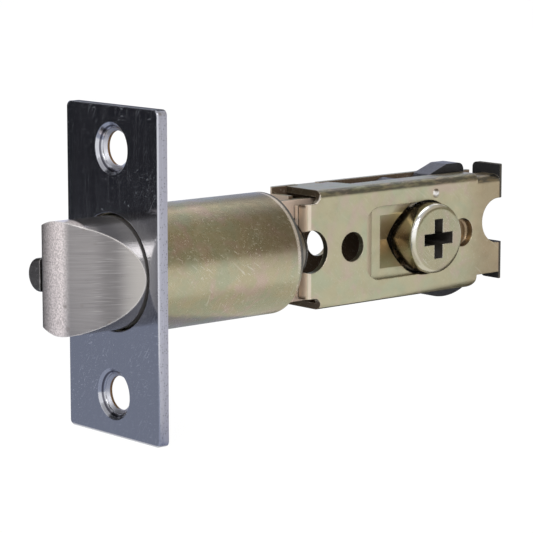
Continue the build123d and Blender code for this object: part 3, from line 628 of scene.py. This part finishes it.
SATIN_FACEPLATE = plate_finish(
    "satin_faceplate", front_colour=(0.40, 0.41, 0.45, 1), side_colour=(0.46, 0.465, 0.545, 1), roughness=0.12)
BACKING_SHEET = plate_finish(
    "backing_sheet", front_colour=(0.36, 0.36, 0.39, 1), side_colour=(0.51, 0.515, 0.60, 1), roughness=0.36)
dress(SATIN_FACEPLATE, "satin_steel", "faceplate")
dress(BACKING_SHEET, "plate_steel", "backing_plate")

# %% [markdown]
# ## Brushed bolt
# The bolt is a solid bar, brushed in level lines on its ramp, with a stippled nose that has a faint pink
# cast. The noise for the lines is drawn out along X and Y and stays fine along Z, so that they stay level
# on every side. The stipple is kept to the tip, which is where the bolt meets the strike plate. The nose
# is painted pale on its near side and dark at its far corner, as painted highlight and shade. Towards the
# faceplate the ramp is painted paler and warmer, a painted reflection, and a soft band of painted shade
# lies before that. Its edges are painted bright on the near side and dark on the far side.


# %% Bolt
def bolt_finish():
    material, tree, shader, edges = blank_metal("brushed_bolt", Breakup=0.15, Radius=0.4 * MM)
    lines = effect(tree, BRUSHED_LEVEL, Contrast=0.8)["Lines"]
    specks = effect(tree, SPECKS, Per_Millimetre=0.55, Amount=0.16)["Mask"]
    stipple = noise(tree, (3.2, 3.2, 3.2), Detail=2.0)
    ramp_side = (FACING, ALONG, -0.2, -0.4)
    nose = where(tree, (SPAN, ALONG, -8.0, -9.0), (FACING, ASIDE, -0.52, -0.27))
    lit = where(tree, (SPAN, ASIDE, 4.8, 0.8))
    corner = where(tree, (SPAN, ASIDE, 3.9, 4.7))
    near = where(tree, (SPAN, ASIDE, 4.4, 2.0))
    painted_light_heel = where(tree, (SPAN, ALONG, -4.8, -1.0))
    painted_shade_dip = where(tree, *window(SPAN, ALONG, -8.2, -5.4, -4.8, -2.6), ramp_side)
    bar_side = where(tree, (FACING, ALONG, -0.25, -0.08))
    hair_zone = where(tree, *window(SPAN, ALONG, -8.4, -6.8, -3.5, -1.5), ramp_side)
    hairs = ramp(tree, noise(tree, (0.2, 0.2, 8.0), Detail=1.0), (0.6, 0.0), (0.72, 0.4))
    hairs = times(tree, hairs, hair_zone)

    steel = ramp(tree, lines, (0.1, (0.235, 0.222, 0.224, 1)), (0.9, (0.37, 0.352, 0.352, 1)))
    steel = mix_colour(tree, hairs, steel, (0.66, 0.64, 0.64, 1))
    # Painted shade: a soft dark band on the ramp. Painted reflection: its heel towards the faceplate paler and
    # warmer.
    steel = lay_over(tree, steel, painted_shade_dip, 0.27, (0.02, 0.02, 0.02, 1))
    steel = lay_over(tree, steel, painted_light_heel, 0.55, (0.62, 0.59, 0.55, 1))
    # The nose is painted pale pink on its near side and dull on its far side, a painted highlight.
    shaded_nose = ramp(tree, stipple, (0.35, (0.12, 0.11, 0.11, 1)), (0.65, (0.23, 0.21, 0.21, 1)))
    pink = ramp(tree, stipple, (0.35, (0.56, 0.50, 0.50, 1)), (0.65, (0.96, 0.88, 0.88, 1)))
    tip = mix_colour(tree, lit, shaded_nose, pink)
    # Painted shade: the nose's far corner nearly black.
    tip = mix_colour(tree, corner, tip, (0.035, 0.035, 0.04, 1))
    surface = mix_colour(tree, nose, steel, tip)
    surface = lay_over(tree, surface, specks, 0.5, (0.22, 0.19, 0.17, 1))
    # Edges are painted bright on the near side, a painted highlight, and dark on the far side, a painted
    # shade.
    worn = times(tree, times(tree, edges["Mask"], near), 2.5, clamp=True)
    shaded = minus(tree, edges["Mask"], worn, clamp=True)
    surface = mix_colour(tree, worn, surface, (0.95, 0.92, 0.91, 1))
    surface = mix_colour(tree, shaded, surface, (0.04, 0.04, 0.045, 1))
    feed(tree, surface, shader["Base Color"])

    matt = times(tree, most(tree, nose, worn, hairs), 0.75)
    matt = most(tree, matt, times(tree, bar_side, 0.14))
    feed(tree, flip(tree, matt), shader["Metallic"])
    rough = plus(tree, times(tree, lines, 0.18), 0.22)
    feed(tree, minus(tree, rough, times(tree, bar_side, 0.14)), shader["Roughness"])
    grooves = times(tree, lines, flip(tree, nose))
    dimples = times(tree, stipple, nose)
    add_relief(tree, shader, edges, plus(tree, grooves, dimples), 0.025)
    return material


dress(bolt_finish(), "bolt_steel", "latch_bolt")

# %% [markdown]
# ## Plainly brushed pieces
# The plunger, the pins and the spring wire are all drawn or brushed steel and differ only in tone, grain,
# wear and the painted highlight on their edges, so one recipe takes those as numbers. The plunger comes
# first: dark, with level lines.

# %% Plunger
Marks = namedtuple("Marks", "patchiness scratched worn")


def brushed_finish(name, brushed, contrast, dark, pale, spread, least, depth, marks=None):
    """Brushed metal between two tones, with scratches and pale edges, worn and painted as a highlight, where
    it has marks.
    """
    material, tree, shader, edges = blank_metal(name)
    lines = effect(tree, brushed, Contrast=contrast)["Lines"]
    surface = ramp(tree, lines, (0.1, dark), (0.9, pale))
    if marks:
        scratch = effect(tree, SCRATCHES, Density=0.5, Patchiness=marks.patchiness)["Mask"]
        surface = mix_colour(tree, scratch, surface, marks.scratched)
        # Pale edges: partly wear, partly a painted highlight.
        surface = mix_colour(tree, edges["Mask"], surface, marks.worn)
    feed(tree, surface, shader["Base Color"])
    vary_roughness(tree, shader, lines, spread, least)
    add_relief(tree, shader, edges, lines, depth)
    return material


DARK_PLUNGER = brushed_finish(
    "dark_plunger", BRUSHED_LEVEL, contrast=0.7, dark=(0.115, 0.107, 0.10, 1), pale=(0.205, 0.192, 0.18, 1),
    spread=0.2, least=0.3, depth=0.02, marks=Marks(0.4, (0.4, 0.39, 0.38, 1), (0.7, 0.68, 0.66, 1)))
dress(DARK_PLUNGER, "plunger_steel", "deadlock_plunger")

# %% [markdown]
# ## Films on the plated pieces
# A film is a tint or a painted highlight, reflection or shade: a colour, the share of it that shows, and
# the limits of its place. A matt film takes that much of the mirror away, so that its own colour shows. A
# polished one is smoother. Most films lie below the worn and lit edges, and a few lie over them. The
# inner faces of the case's two ears are painted dark, a painted shade.

# %% Films on the barrel and the case
Film = namedtuple("Film", "colour share limits matt polish over_edges mottled",
                  defaults=(0.0, 0.0, False, False))

BARREL_FILMS = (
    # Painted dark reflection, brown, on the upper side towards the case.
    Film((0.18, 0.14, 0.10, 1), 0.65, [(SPAN, ALONG, 12.0, 32.0), (SPAN, UP, -3.0, 4.0)]),
    # Painted highlight: a pale line just inside the rear edge.
    Film((0.80, 0.72, 0.66, 1), 0.55,
         [*window(SPAN, ALONG, 32.5, 32.8, 33.2, 33.4), (SPAN, UP, -4.0, 2.0)], matt=0.45),
    # Painted shade: slate grey on the upper part of the rim at the rear end.
    Film((0.085, 0.09, 0.097, 1), 0.85, [(SPAN, ALONG, 33.2, 33.45), (SPAN, UP, -6.0, 0.0)],
         matt=0.7, over_edges=True),
)
CUT_FRONT = (FACING, ALONG, -0.6, -0.9), (SPAN, ALONG, 46.0, 45.0)
CASE_FILMS = (
    # Painted shade: brown in the pan that is pressed in around the hub, darker where it is deeper.
    Film((0.205, 0.147, 0.08, 1), 0.8,
         [(SPAN, ASIDE, -4.4, -2.7), *window(SPAN, ALONG, 53.0, 55.0, 69.0, 71.0),
          *window(SPAN, UP, -7.6, -6.4, 6.4, 7.6)]),
    # Painted light: a paler line where the sheet rolls over into the pan.
    Film((0.52, 0.44, 0.32, 1), 0.9,
         [*window(SPAN, ALONG, 53.9, 54.2, 56.9, 57.3), (FACING, ALONG, 0.05, 0.15)], matt=0.75),
    # Painted shade: brown in the dimple behind the hub.
    Film((0.26, 0.165, 0.085, 1), 0.75,
         [(SPAN, ASIDE, -5.15, -4.5), *window(SPAN, ALONG, 76.2, 76.8, 82.0, 82.6),
          *window(SPAN, UP, -3.1, -2.7, 2.7, 3.1)]),
    # Pinker, thinner film towards the tail.
    Film((0.35, 0.26, 0.168, 1), 0.7, [(SPAN, ALONG, 78.0, 86.0)]),
    # Painted dark reflection along the upper bend, mottled.
    Film((0.125, 0.128, 0.128, 1), 0.8,
         [*window(FACING, UP, 0.05, 0.3, 0.95, 0.99), (FACING, ASIDE, -0.12, -0.25), (SPAN, UP, 8.0, 8.6)],
         mottled=True),
    # Painted glint, nearly white, on the small bump above the hub.
    Film((0.92, 0.91, 0.92, 1), 0.8,
         [(SPAN, ASIDE, -5.22, -5.32), *window(SPAN, ALONG, 71.2, 71.4, 73.0, 73.2),
          *window(SPAN, UP, 7.1, 7.3, 8.3, 8.7)], matt=0.4),
    # Painted light: pale pink on the narrow return at the near side's front.
    Film((0.66, 0.50, 0.38, 1), 0.85, [(FACING, ALONG, -0.45, -0.7), (SPAN, ALONG, 41.0, 40.6)], matt=0.65),
    # Painted highlight: a pale line along the near side's front edge.
    Film((0.86, 0.74, 0.62, 1), 0.8,
         [*window(SPAN, ALONG, 40.1, 40.3, 40.7, 41.0), (FACING, ASIDE, -0.5, -0.75)], matt=0.6),
    # Painted shade: dark brown on the front cut edges of the upper and the lower flange.
    Film((0.075, 0.05, 0.03, 1), 0.9, [*CUT_FRONT, (SPAN, UP, 7.8, 8.4)], matt=0.4),
    Film((0.075, 0.05, 0.03, 1), 0.9, [*CUT_FRONT, (SPAN, UP, -7.8, -8.4)], matt=0.4),
    # Painted highlight on the near edge of the upper corner relief.
    Film((0.92, 0.84, 0.76, 1), 0.85,
         [(SPAN, ASIDE, -4.6, -4.9), (FACING, ASIDE, -0.75, -0.5), (SPAN, ALONG, 43.6, 43.3),
          *window(SPAN, UP, 8.3, 8.5, 9.9, 10.3)], matt=0.7, over_edges=True),
    # Painted shade: a dark line under the lower bend, on faces that look down.
    Film((0.03, 0.028, 0.026, 1), 0.9, [(FACING, UP, -0.68, -0.82)], matt=0.9),
    # Painted shade: a dark outer edge of the tail and its ears.
    Film((0.04, 0.04, 0.042, 1), 0.85, [(SPAN, ALONG, 89.15, 89.45)], matt=0.8, over_edges=True),
    # Painted shade: a dark cut edge at the bottom of the tail's notch.
    Film((0.045, 0.042, 0.04, 1), 0.9,
         [(FACING, UP, 0.3, 0.6), (SPAN, ALONG, 85.6, 86.6), (SPAN, UP, 2.0, 1.0)],
         matt=0.8, over_edges=True),
    # Painted shade: dark inner faces of the two ears at the tail.
    Film((0.045, 0.043, 0.045, 1), 1.0, [(FACING, ALONG, -0.3, -0.5), (SPAN, ALONG, 88.3, 88.6)]),
)
print("films:", len(BARREL_FILMS), "on the barrel and", len(CASE_FILMS), "on the case")

# %% Films on the cover, the hub and the yoke
COVER_FILMS = (
    # Painted shade on the inner side.
    Film((0.17, 0.115, 0.08, 1), 0.95, [(FACING, ASIDE, -0.3, -0.6)], matt=0.6),
    # Painted light: pale pink on the front wall.
    Film((0.86, 0.70, 0.57, 1), 0.9, [(FACING, ALONG, -0.6, -0.9)], matt=0.8),
)
HUB_RIM = (*window(FACING, ASIDE, -0.96, -0.85, -0.35, -0.2), (SPAN, ASIDE, -6.9, -7.2),
           (SPAN, ALONG, 73.0, 69.0))
HUB_FILMS = (
    # Painted shade: darker brown on the hub's barrel behind the bright rim.
    Film((0.42, 0.32, 0.21, 1), 0.55, [(SPAN, ASIDE, -7.2, -6.2)]),
    # Rounded rim with a painted highlight on its upper left, nearly white.
    Film((0.96, 0.95, 0.91, 1), 0.9, [*HUB_RIM, (SPAN, UP, -1.0, 1.5)], polish=0.14),
    # Painted creamy reflection on the rim's lower left.
    Film((0.74, 0.70, 0.58, 1), 0.4, [*HUB_RIM, (SPAN, UP, 1.5, -1.0)]),
    # Painted shade: black inside the cross-shaped socket.
    Film((0.016, 0.014, 0.013, 1), 0.95,
         [(SPAN, ASIDE, -8.2, -8.0), *window(SPAN, ALONG, 65.7, 66.0, 74.0, 74.3),
          *window(SPAN, UP, -4.3, -4.0, 4.0, 4.3)], matt=0.95, over_edges=True),
)
YOKE_FILMS = (
    # Painted light: pale pink on the near side, which shows behind the barrel.
    Film((0.70, 0.55, 0.46, 1), 0.9, [(FACING, ASIDE, -0.5, -0.8)], matt=0.8),
)
print("films:", len(COVER_FILMS), "on the cover,", len(HUB_FILMS), "on the hub and", len(YOKE_FILMS),
      "on the yoke")

# %% [markdown]
# ## Yellow chromate on the barrel, the case and the hub
# Barrel, case, cover and hub come out of the same plating bath, so one recipe serves all with different
# numbers. The barrel is drawn tube that has rolled about in a box with others, so it is more scuffed. The
# case is smooth sheet, and the hub is turned, with an edge painted almost like chrome, partly wear and
# partly a painted highlight. The specular level is nil, because the matt spots would otherwise gleam at
# a flat angle like varnish.

# %% Chromate recipe
Bath = namedtuple("Bath", "gold green pink")
# Colour of the painted shade in recesses.
RECESS_SHADE = (0.028, 0.026, 0.025, 1)


def film_mask(tree, film):
    """Mask of a film's place, broken up where the film is mottled."""
    mask = where(tree, *film.limits)
    if film.mottled:
        mottle = ramp(tree, noise(tree, (0.5, 2.0, 2.0), Detail=3.0), (0.38, 0.35), (0.56, 1.0))
        mask = times(tree, mask, mottle)
    return mask


def chromate_finish(name, bath, films, roughness, scuff, edge, edge_share, hollow=RECESS_SHADE):
    """Plated metal with its films; scuff is how scratched it is, hollow the painted shade in its recesses."""
    material, tree, shader, edges = blank_metal(name)
    tint = effect(tree, CHROMATE, Gold=bath.gold, Green_Tint=bath.green, Pink_Tint=bath.pink, Strength=0.85)
    scratch = effect(tree, SCRATCHES, Density=scuff, Patchiness=0.7)["Mask"]
    specks = effect(tree, SPECKS, Per_Millimetre=0.9, Amount=0.22)["Mask"]
    recess = effect(tree, RECESS, Strength=0.98)["Mask"]
    worn = times(tree, edges["Mask"], edge_share)
    laid = [(film, film_mask(tree, film)) for film in films]

    surface = tint["Color"]
    for film, mask in laid:
        if not film.over_edges:
            surface = lay_over(tree, surface, mask, film.share, film.colour)
    pale = tuple(0.45 + c * 0.7 for c in bath.gold[:3]) + (1,)
    brown = (bath.gold[0] * 0.5, bath.gold[1] * 0.42, bath.gold[2] * 0.36, 1)
    surface = mix_colour(tree, scratch, surface, pale)
    surface = lay_over(tree, surface, specks, 0.35 * scuff, brown)
    # The edge colour: partly rubbed plating, partly a painted highlight.
    surface = mix_colour(tree, worn, surface, edge)
    for film, mask in laid:
        if film.over_edges:
            surface = lay_over(tree, surface, mask, film.share, film.colour)
    feed(tree, mix_colour(tree, recess, surface, hollow), shader["Base Color"])

    matt = [times(tree, mask, film.matt) for film, mask in laid if film.matt]
    matt = most(tree, recess, times(tree, worn, 0.5), times(tree, scratch, 0.5), *matt)
    feed(tree, flip(tree, matt), shader["Metallic"])
    shader["Specular IOR Level"].default_value = 0.0
    polish = [times(tree, mask, film.polish) for film, mask in laid if film.polish]
    polish = most(tree, times(tree, worn, 0.15), *polish)
    cloudy = plus(tree, times(tree, tint["Clouds"], 0.14), times(tree, scratch, 0.12))
    feed(tree, minus(tree, plus(tree, cloudy, roughness), polish), shader["Roughness"])
    waves = noise(tree, (0.35, 0.35, 0.35), Detail=3.0)
    add_relief(tree, shader, edges, plus(tree, waves, times(tree, scratch, -0.4)), 0.03)
    return material


print("chromate recipe ready")

# %% Plated pieces
BARREL_BATH = Bath((0.45, 0.40, 0.265, 1), (0.385, 0.40, 0.28, 1), (0.50, 0.39, 0.325, 1))
CASE_BATH = Bath((0.47, 0.435, 0.295, 1), (0.42, 0.44, 0.31, 1), (0.50, 0.41, 0.335, 1))
HUB_BATH = Bath((0.385, 0.35, 0.235, 1), (0.35, 0.355, 0.24, 1), (0.41, 0.345, 0.27, 1))
BARREL_EDGE = (0.74, 0.71, 0.66, 1)
CASE_EDGE = (0.84, 0.76, 0.64, 1)
HUB_EDGE = (0.95, 0.92, 0.86, 1)
# The hub's recesses get a lighter painted shade.
HUB_RECESS_SHADE = (0.13, 0.12, 0.115, 1)
BARREL_PLATING = chromate_finish(
    "chromate_barrel", BARREL_BATH, BARREL_FILMS, roughness=0.24, scuff=0.48, edge=BARREL_EDGE, edge_share=0.7)
CASE_PLATING = chromate_finish(
    "chromate_case", CASE_BATH, CASE_FILMS, roughness=0.30, scuff=0.16, edge=CASE_EDGE, edge_share=0.7)
COVER_PLATING = chromate_finish(
    "chromate_cover", CASE_BATH, COVER_FILMS, roughness=0.30, scuff=0.28, edge=CASE_EDGE, edge_share=0.5)
HUB_PLATING = chromate_finish(
    "chromate_hub", HUB_BATH, HUB_FILMS, roughness=0.20, scuff=0.3, edge=HUB_EDGE, edge_share=0.7,
    hollow=HUB_RECESS_SHADE)
dress(BARREL_PLATING, "gold_chromate", "barrel_tube")
dress(CASE_PLATING, "gold_chromate", "case_body")
dress(COVER_PLATING, "gold_chromate", "case_cover")
dress(HUB_PLATING, "hub_chromate", "drive_hub")

# %% [markdown]
# ## Dark sintered cam
# The cam is pressed from metal powder and blackened. It has a fine grain with tiny pores and only a weak
# sheen, so it is rougher and darker than everything around it. Its flanks on the near side are painted
# blacker still, a painted shade.


# %% Cam finish
def cam_finish():
    material, tree, shader, edges = blank_metal("sintered_cam")
    pores = effect(tree, SPECKS, Per_Millimetre=4.0, Amount=0.5)["Mask"]
    grain = noise(tree, (2.2, 2.2, 2.2), Detail=4.0)
    shaded_flanks = where(tree, (FACING, ASIDE, -0.4, -0.8))
    surface = ramp(tree, grain, (0.3, (0.14, 0.144, 0.17, 1)), (0.7, (0.235, 0.24, 0.28, 1)))
    # Painted shade: the near flanks nearly black.
    surface = lay_over(tree, surface, shaded_flanks, 0.85, (0.025, 0.025, 0.026, 1))
    # Lighter edges: partly wear, partly a painted highlight.
    surface = lay_over(tree, surface, edges["Mask"], 0.5, (0.34, 0.335, 0.36, 1))
    feed(tree, surface, shader["Base Color"])
    vary_roughness(tree, shader, grain, 0.2, 0.34)
    add_relief(tree, shader, edges, plus(tree, grain, times(tree, pores, -0.6)), 0.04)
    return material


dress(cam_finish(), "dark_cam", "retractor_cam")

# %% [markdown]
# ## Inner steel and the turned plug
# Pins, pawl and ring are plain steel with a film of oil, and the yoke has a thin film from the plating
# bath. The plug in the barrel's end is turned, so its lines run round the latch's axis: the distance from
# the axis, fed to a wave, makes fine rings. Its neck is painted dark brown as painted shade from the
# barrel, darkest on its upper side, with a near-black line of painted shade where it passes the case.

# %% Inner finishes
RINGS = 22.0
NECK = (SPAN, ALONG, 34.0, 34.3)


def turned_finish():
    material, tree, shader, edges = blank_metal("turned_plug")
    place = add_node(tree, "SeparateXYZ")
    feed(tree, in_millimetres(tree), place.inputs["Vector"])
    x, y, z = place.outputs
    squares = plus(tree, math_node(tree, "POWER", y, 2.0), math_node(tree, "POWER", z, 2.0))
    cut = plus(tree, math_node(tree, "SQRT", squares), x)
    rings = math_node(tree, "SINE", times(tree, cut, RINGS))
    share = plus(tree, times(tree, rings, 0.5), 0.5)
    zinc = ramp(tree, share, (0.0, (0.46, 0.45, 0.43, 1)), (1.0, (0.58, 0.57, 0.55, 1)))
    # Painted shade on the neck, darkest on its upper side.
    zinc = lay_over(tree, zinc, where(tree, NECK), 0.85, (0.19, 0.17, 0.14, 1))
    roof = where(tree, NECK, (FACING, UP, 0.65, 0.85))
    zinc = lay_over(tree, zinc, roof, 0.9, (0.06, 0.045, 0.035, 1))
    # Painted shade in the gap where the plug passes the case.
    gap = where(tree, (SPAN, ALONG, 39.1, 39.3))
    zinc = lay_over(tree, zinc, gap, 0.92, (0.03, 0.028, 0.026, 1))
    # Bright edges: partly wear, partly a painted highlight.
    feed(tree, mix_colour(tree, edges["Mask"], zinc, (0.8, 0.79, 0.77, 1)), shader["Base Color"])
    vary_roughness(tree, shader, share, 0.12, 0.26)
    add_relief(tree, shader, edges, share, 0.02)
    return material


OILED_STEEL = brushed_finish(
    "oiled_steel", BRUSHED_ALONG, contrast=0.6, dark=(0.34, 0.34, 0.35, 1), pale=(0.52, 0.52, 0.54, 1),
    spread=0.2, least=0.2, depth=0.015, marks=Marks(0.5, (0.72, 0.71, 0.7, 1), (0.78, 0.77, 0.76, 1)))
YOKE_PLATING = chromate_finish(
    "chromate_yoke", BARREL_BATH, YOKE_FILMS, roughness=0.30, scuff=0.3, edge=CASE_EDGE, edge_share=0.5)
dress(YOKE_PLATING, "plain_steel", "drawbar_yoke")
dress(OILED_STEEL, "plain_steel", "yoke_pin", "drive_pin", "plug_pin", "deadlock_pawl", "pawl_pin",
      "hub_retaining_ring")
dress(turned_finish(), "turned_zinc", "barrel_end_plug")

# %% [markdown]
# ## Wound springs
# A spring can't be a rigid solid once the bolt moves back. Each one is drawn again as a wire curve with
# closed ends, turned into a mesh and attached to the frame. The pawl's small spring keeps its CAD shape.

# %% Wound springs
CLOSED_TURNS = 1.25
CLOSED_PITCH = 1.02
STEPS_PER_TURN = 20
WIRE_ROUNDNESS = 3
WIRE = brushed_finish(
    "drawn_wire", BRUSHED_ALONG, contrast=0.5, dark=(0.38, 0.38, 0.4, 1), pale=(0.56, 0.56, 0.58, 1),
    spread=0.15, least=0.2, depth=0.01)
dress(WIRE, "spring_wire", "pawl_spring")


def coil_mesh(name, points, wire):
    """Round wire along some points, as a smooth mesh."""
    curve = bpy.data.curves.new(name, "CURVE")
    curve.dimensions = "3D"
    curve.bevel_depth = wire / 2
    curve.bevel_resolution = WIRE_ROUNDNESS
    curve.use_fill_caps = True
    spline = curve.splines.new("POLY")
    spline.points.add(len(points) - 1)
    for point, place in zip(spline.points, points):
        point.co = (*place, 1)
    drawn = add_object(name + "_curve", curve)
    mesh = bpy.data.meshes.new_from_object(drawn.evaluated_get(bpy.context.evaluated_depsgraph_get()))
    bpy.data.objects.remove(drawn)
    for face in mesh.polygons:
        face.use_smooth = True
    mesh.materials.clear()
    mesh.materials.append(WIRE)
    return mesh


def wound_spring(name, node, wire, open_turns):
    """Replaces a CAD spring by a coil with closed ends, attached to the frame."""
    low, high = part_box(node)
    mid_y = (low.y + high.y) / 2
    mid_z = (low.z + high.z) / 2
    radius = (high.z - low.z) / 2 - wire / 2
    first = low.x + wire / 2
    last = high.x - wire / 2
    turns = open_turns + 2 * CLOSED_TURNS
    closed_length = CLOSED_TURNS * wire * CLOSED_PITCH
    open_length = last - first - 2 * closed_length
    steps = int(turns * STEPS_PER_TURN)
    points = []
    for index in range(steps + 1):
        turn = turns * index / steps
        from_end = min(turn, turns - turn)
        if from_end <= CLOSED_TURNS:
            along = closed_length * from_end / CLOSED_TURNS
            x = first + along if turn < turns / 2 else last - along
        else:
            x = first + closed_length + open_length * (turn - CLOSED_TURNS) / open_turns
        angle = 2 * math.pi * turn
        points.append((x, mid_y + radius * math.cos(angle), mid_z + radius * math.sin(angle)))
    spring = add_object(name, coil_mesh(name, points, wire))
    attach(spring, "frame")
    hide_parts(node)
    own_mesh(spring)
    print(name, "has", len(spring.data.polygons), "faces and", turns, "turns")


wound_spring("bolt_spring_coil", "bolt_spring", wire=0.8 * MM, open_turns=5.5)
wound_spring("plunger_spring_coil", "plunger_spring", wire=0.44 * MM, open_turns=9.5)

# %% [markdown]
# ## Floor, backdrop and light
# The photograph has a clean white background. The floor stays a real surface, so the latch keeps a soft
# shadow, and camera rays see part of it as plain white. Polished metal shows whatever stands around it, so
# a product photographer puts cards around it to give it contrast. The cards here are seen only in
# reflections. A dark one with a grey sheet at its foot faces the faceplate, a brown one stands in front of
# the barrel, a blue one stands behind, two sheets lie below, and a bright panel and a dim one hang above.

# %% Floor and world
FLOOR_GAP = 0.05
FLOOR_Z = cad_box[0].z / MM - FLOOR_GAP
FLOOR_REACH = 4000
FLOOR_GREY = (0.9, 0.9, 0.9, 1)
FLOOR_WHITE_SHARE = 0.9
PAPER_WHITE = 1.06
SKY_LIGHT = 0.55


def seen_rays(tree):
    """One for rays that show the background: camera, glossy and transmission rays."""
    rays = add_node(tree, "LightPath").outputs
    return most(tree, rays["Is Camera Ray"], rays["Is Glossy Ray"], rays["Is Transmission Ray"])


def floor_material():
    """Matt surface that those rays see partly as plain white."""
    material, tree = new_material("pale_floor")
    matt = add_node(tree, "BsdfDiffuse", Color=FLOOR_GREY)
    white = add_node(tree, "Emission", Color=(1, 1, 1, 1), Strength=PAPER_WHITE)
    both = add_node(tree, "MixShader")
    feed(tree, times(tree, seen_rays(tree), FLOOR_WHITE_SHARE), both.inputs[0])
    feed(tree, matt.outputs["BSDF"], both.inputs[1])
    feed(tree, white.outputs["Emission"], both.inputs[2])
    show(tree, both.outputs["Shader"])
    return material


def flat_card(name, corners, material):
    """Four-cornered sheet."""
    mesh = bpy.data.meshes.new(name)
    mesh.from_pydata([Vector(corner) * MM for corner in corners], [], [(0, 1, 2, 3)])
    mesh.materials.append(material)
    card = add_object(name, mesh)
    return card


flat_card(
    "floor",
    [(x * FLOOR_REACH, y * FLOOR_REACH, FLOOR_Z) for x, y in ((-1, -1), (1, -1), (1, 1), (-1, 1))],
    floor_material(),
)
world = bpy.data.worlds.new("studio_world")
scene.world = world
world.use_nodes = True
sky = world.node_tree
sky.nodes.clear()
paper = add_node(sky, "Background", Color=(1, 1, 1, 1))
feed(sky, most(sky, seen_rays(sky), SKY_LIGHT), paper.inputs["Strength"])
feed(sky, paper.outputs["Background"], add_node(sky, "OutputWorld").inputs["Surface"])
print("floor at", round(FLOOR_Z, 2), "mm")

# %% Reflection cards
BLIND_RAYS = "camera", "diffuse", "shadow", "transmission", "volume_scatter"


def reflection_card(name, corners, tone):
    """Card that only glossy rays see, so it shapes reflections and nothing else."""
    material, tree = new_material(name + "_tone")
    show(tree, add_node(tree, "Emission", Color=tone, Strength=1.0).outputs["Emission"])
    card = flat_card(name, corners, material)
    for ray in BLIND_RAYS:
        setattr(card, "visible_" + ray, False)


def heading_directions(heading, width):
    """Outward direction at a heading, in degrees from +X towards +Y, and half the width sideways."""
    turn = math.radians(heading)
    outward = Vector((math.cos(turn), math.sin(turn), 0))
    return outward, Vector((-outward.y, outward.x, 0)) * (width / 2)


def standing_card(name, tone, heading, distance, width, low, high):
    """Upright card at a heading seen from the latch, between two heights."""
    outward, sideways = heading_directions(heading, width)
    left = outward * distance - sideways
    right = outward * distance + sideways
    bottom, top = Vector((0, 0, low)), Vector((0, 0, high))
    reflection_card(name, [left + bottom, right + bottom, right + top, left + top], tone)


def lying_card(name, tone, heading, near, far, width, height):
    """Card that lies flat at a height, from a near to a far distance along a heading."""
    outward, sideways = heading_directions(heading, width)
    lift = Vector((0, 0, height))
    first, last = outward * near + lift, outward * far + lift
    reflection_card(name, [first - sideways, last - sideways, last + sideways, first + sideways], tone)


standing_card("dark_card_by_the_bolt", (0.034, 0.035, 0.04, 1), heading=114, distance=200, width=220,
              low=FLOOR_Z + 0.1, high=420)
lying_card("grey_sheet_by_the_bolt", (0.36, 0.39, 0.48, 1), heading=131, near=-20, far=178, width=150,
           height=FLOOR_Z + 0.4)
standing_card("brown_card_in_front", (0.42, 0.38, 0.305, 1), heading=-42, distance=300, width=640,
              low=26, high=480)
standing_card("blue_card_behind", (0.52, 0.58, 0.78, 1), heading=49, distance=600, width=700,
              low=-20, high=300)
lying_card("grey_sheet_behind", (0.13, 0.12, 0.10, 1), heading=48, near=50, far=590, width=300,
           height=FLOOR_Z + 0.3)
lying_card("pale_sheet_below", (0.74, 0.73, 0.68, 1), heading=0, near=0, far=62, width=60,
           height=FLOOR_Z + 0.2)
lying_card("bright_panel_above", (1.25, 1.23, 1.18, 1), heading=25, near=500, far=700, width=300,
           height=500)
lying_card("dim_ceiling", (0.5, 0.5, 0.51, 1), heading=0, near=-1500, far=1500, width=3000, height=900)


# %% Lamps
def soft_lamp(name, place, target, side, watts, colour=(1, 1, 1)):
    """Square area lamp at a place, aimed at a target, in millimetres."""
    lamp_data = bpy.data.lights.new(name, "AREA")
    lamp_data.shape = "RECTANGLE"
    lamp_data.size = side * MM
    lamp_data.size_y = side * MM
    lamp_data.energy = watts
    lamp_data.color = colour
    lamp = add_object(name, lamp_data)
    lamp.location = Vector(place) * MM
    aim(lamp, (Vector(target) - Vector(place)) * MM)


soft_lamp("key_lamp", (-420, -520, 560), (30, 0, 0), side=420, watts=2.6, colour=(1.0, 0.985, 0.96))
soft_lamp("top_lamp", (60, 120, 700), (40, 0, 0), side=500, watts=1.0)

# %% [markdown]
# ## Finish
# The view transform stays Standard, so colours come out as they were written.

# %% Finish
scene.view_settings.view_transform = "Standard"
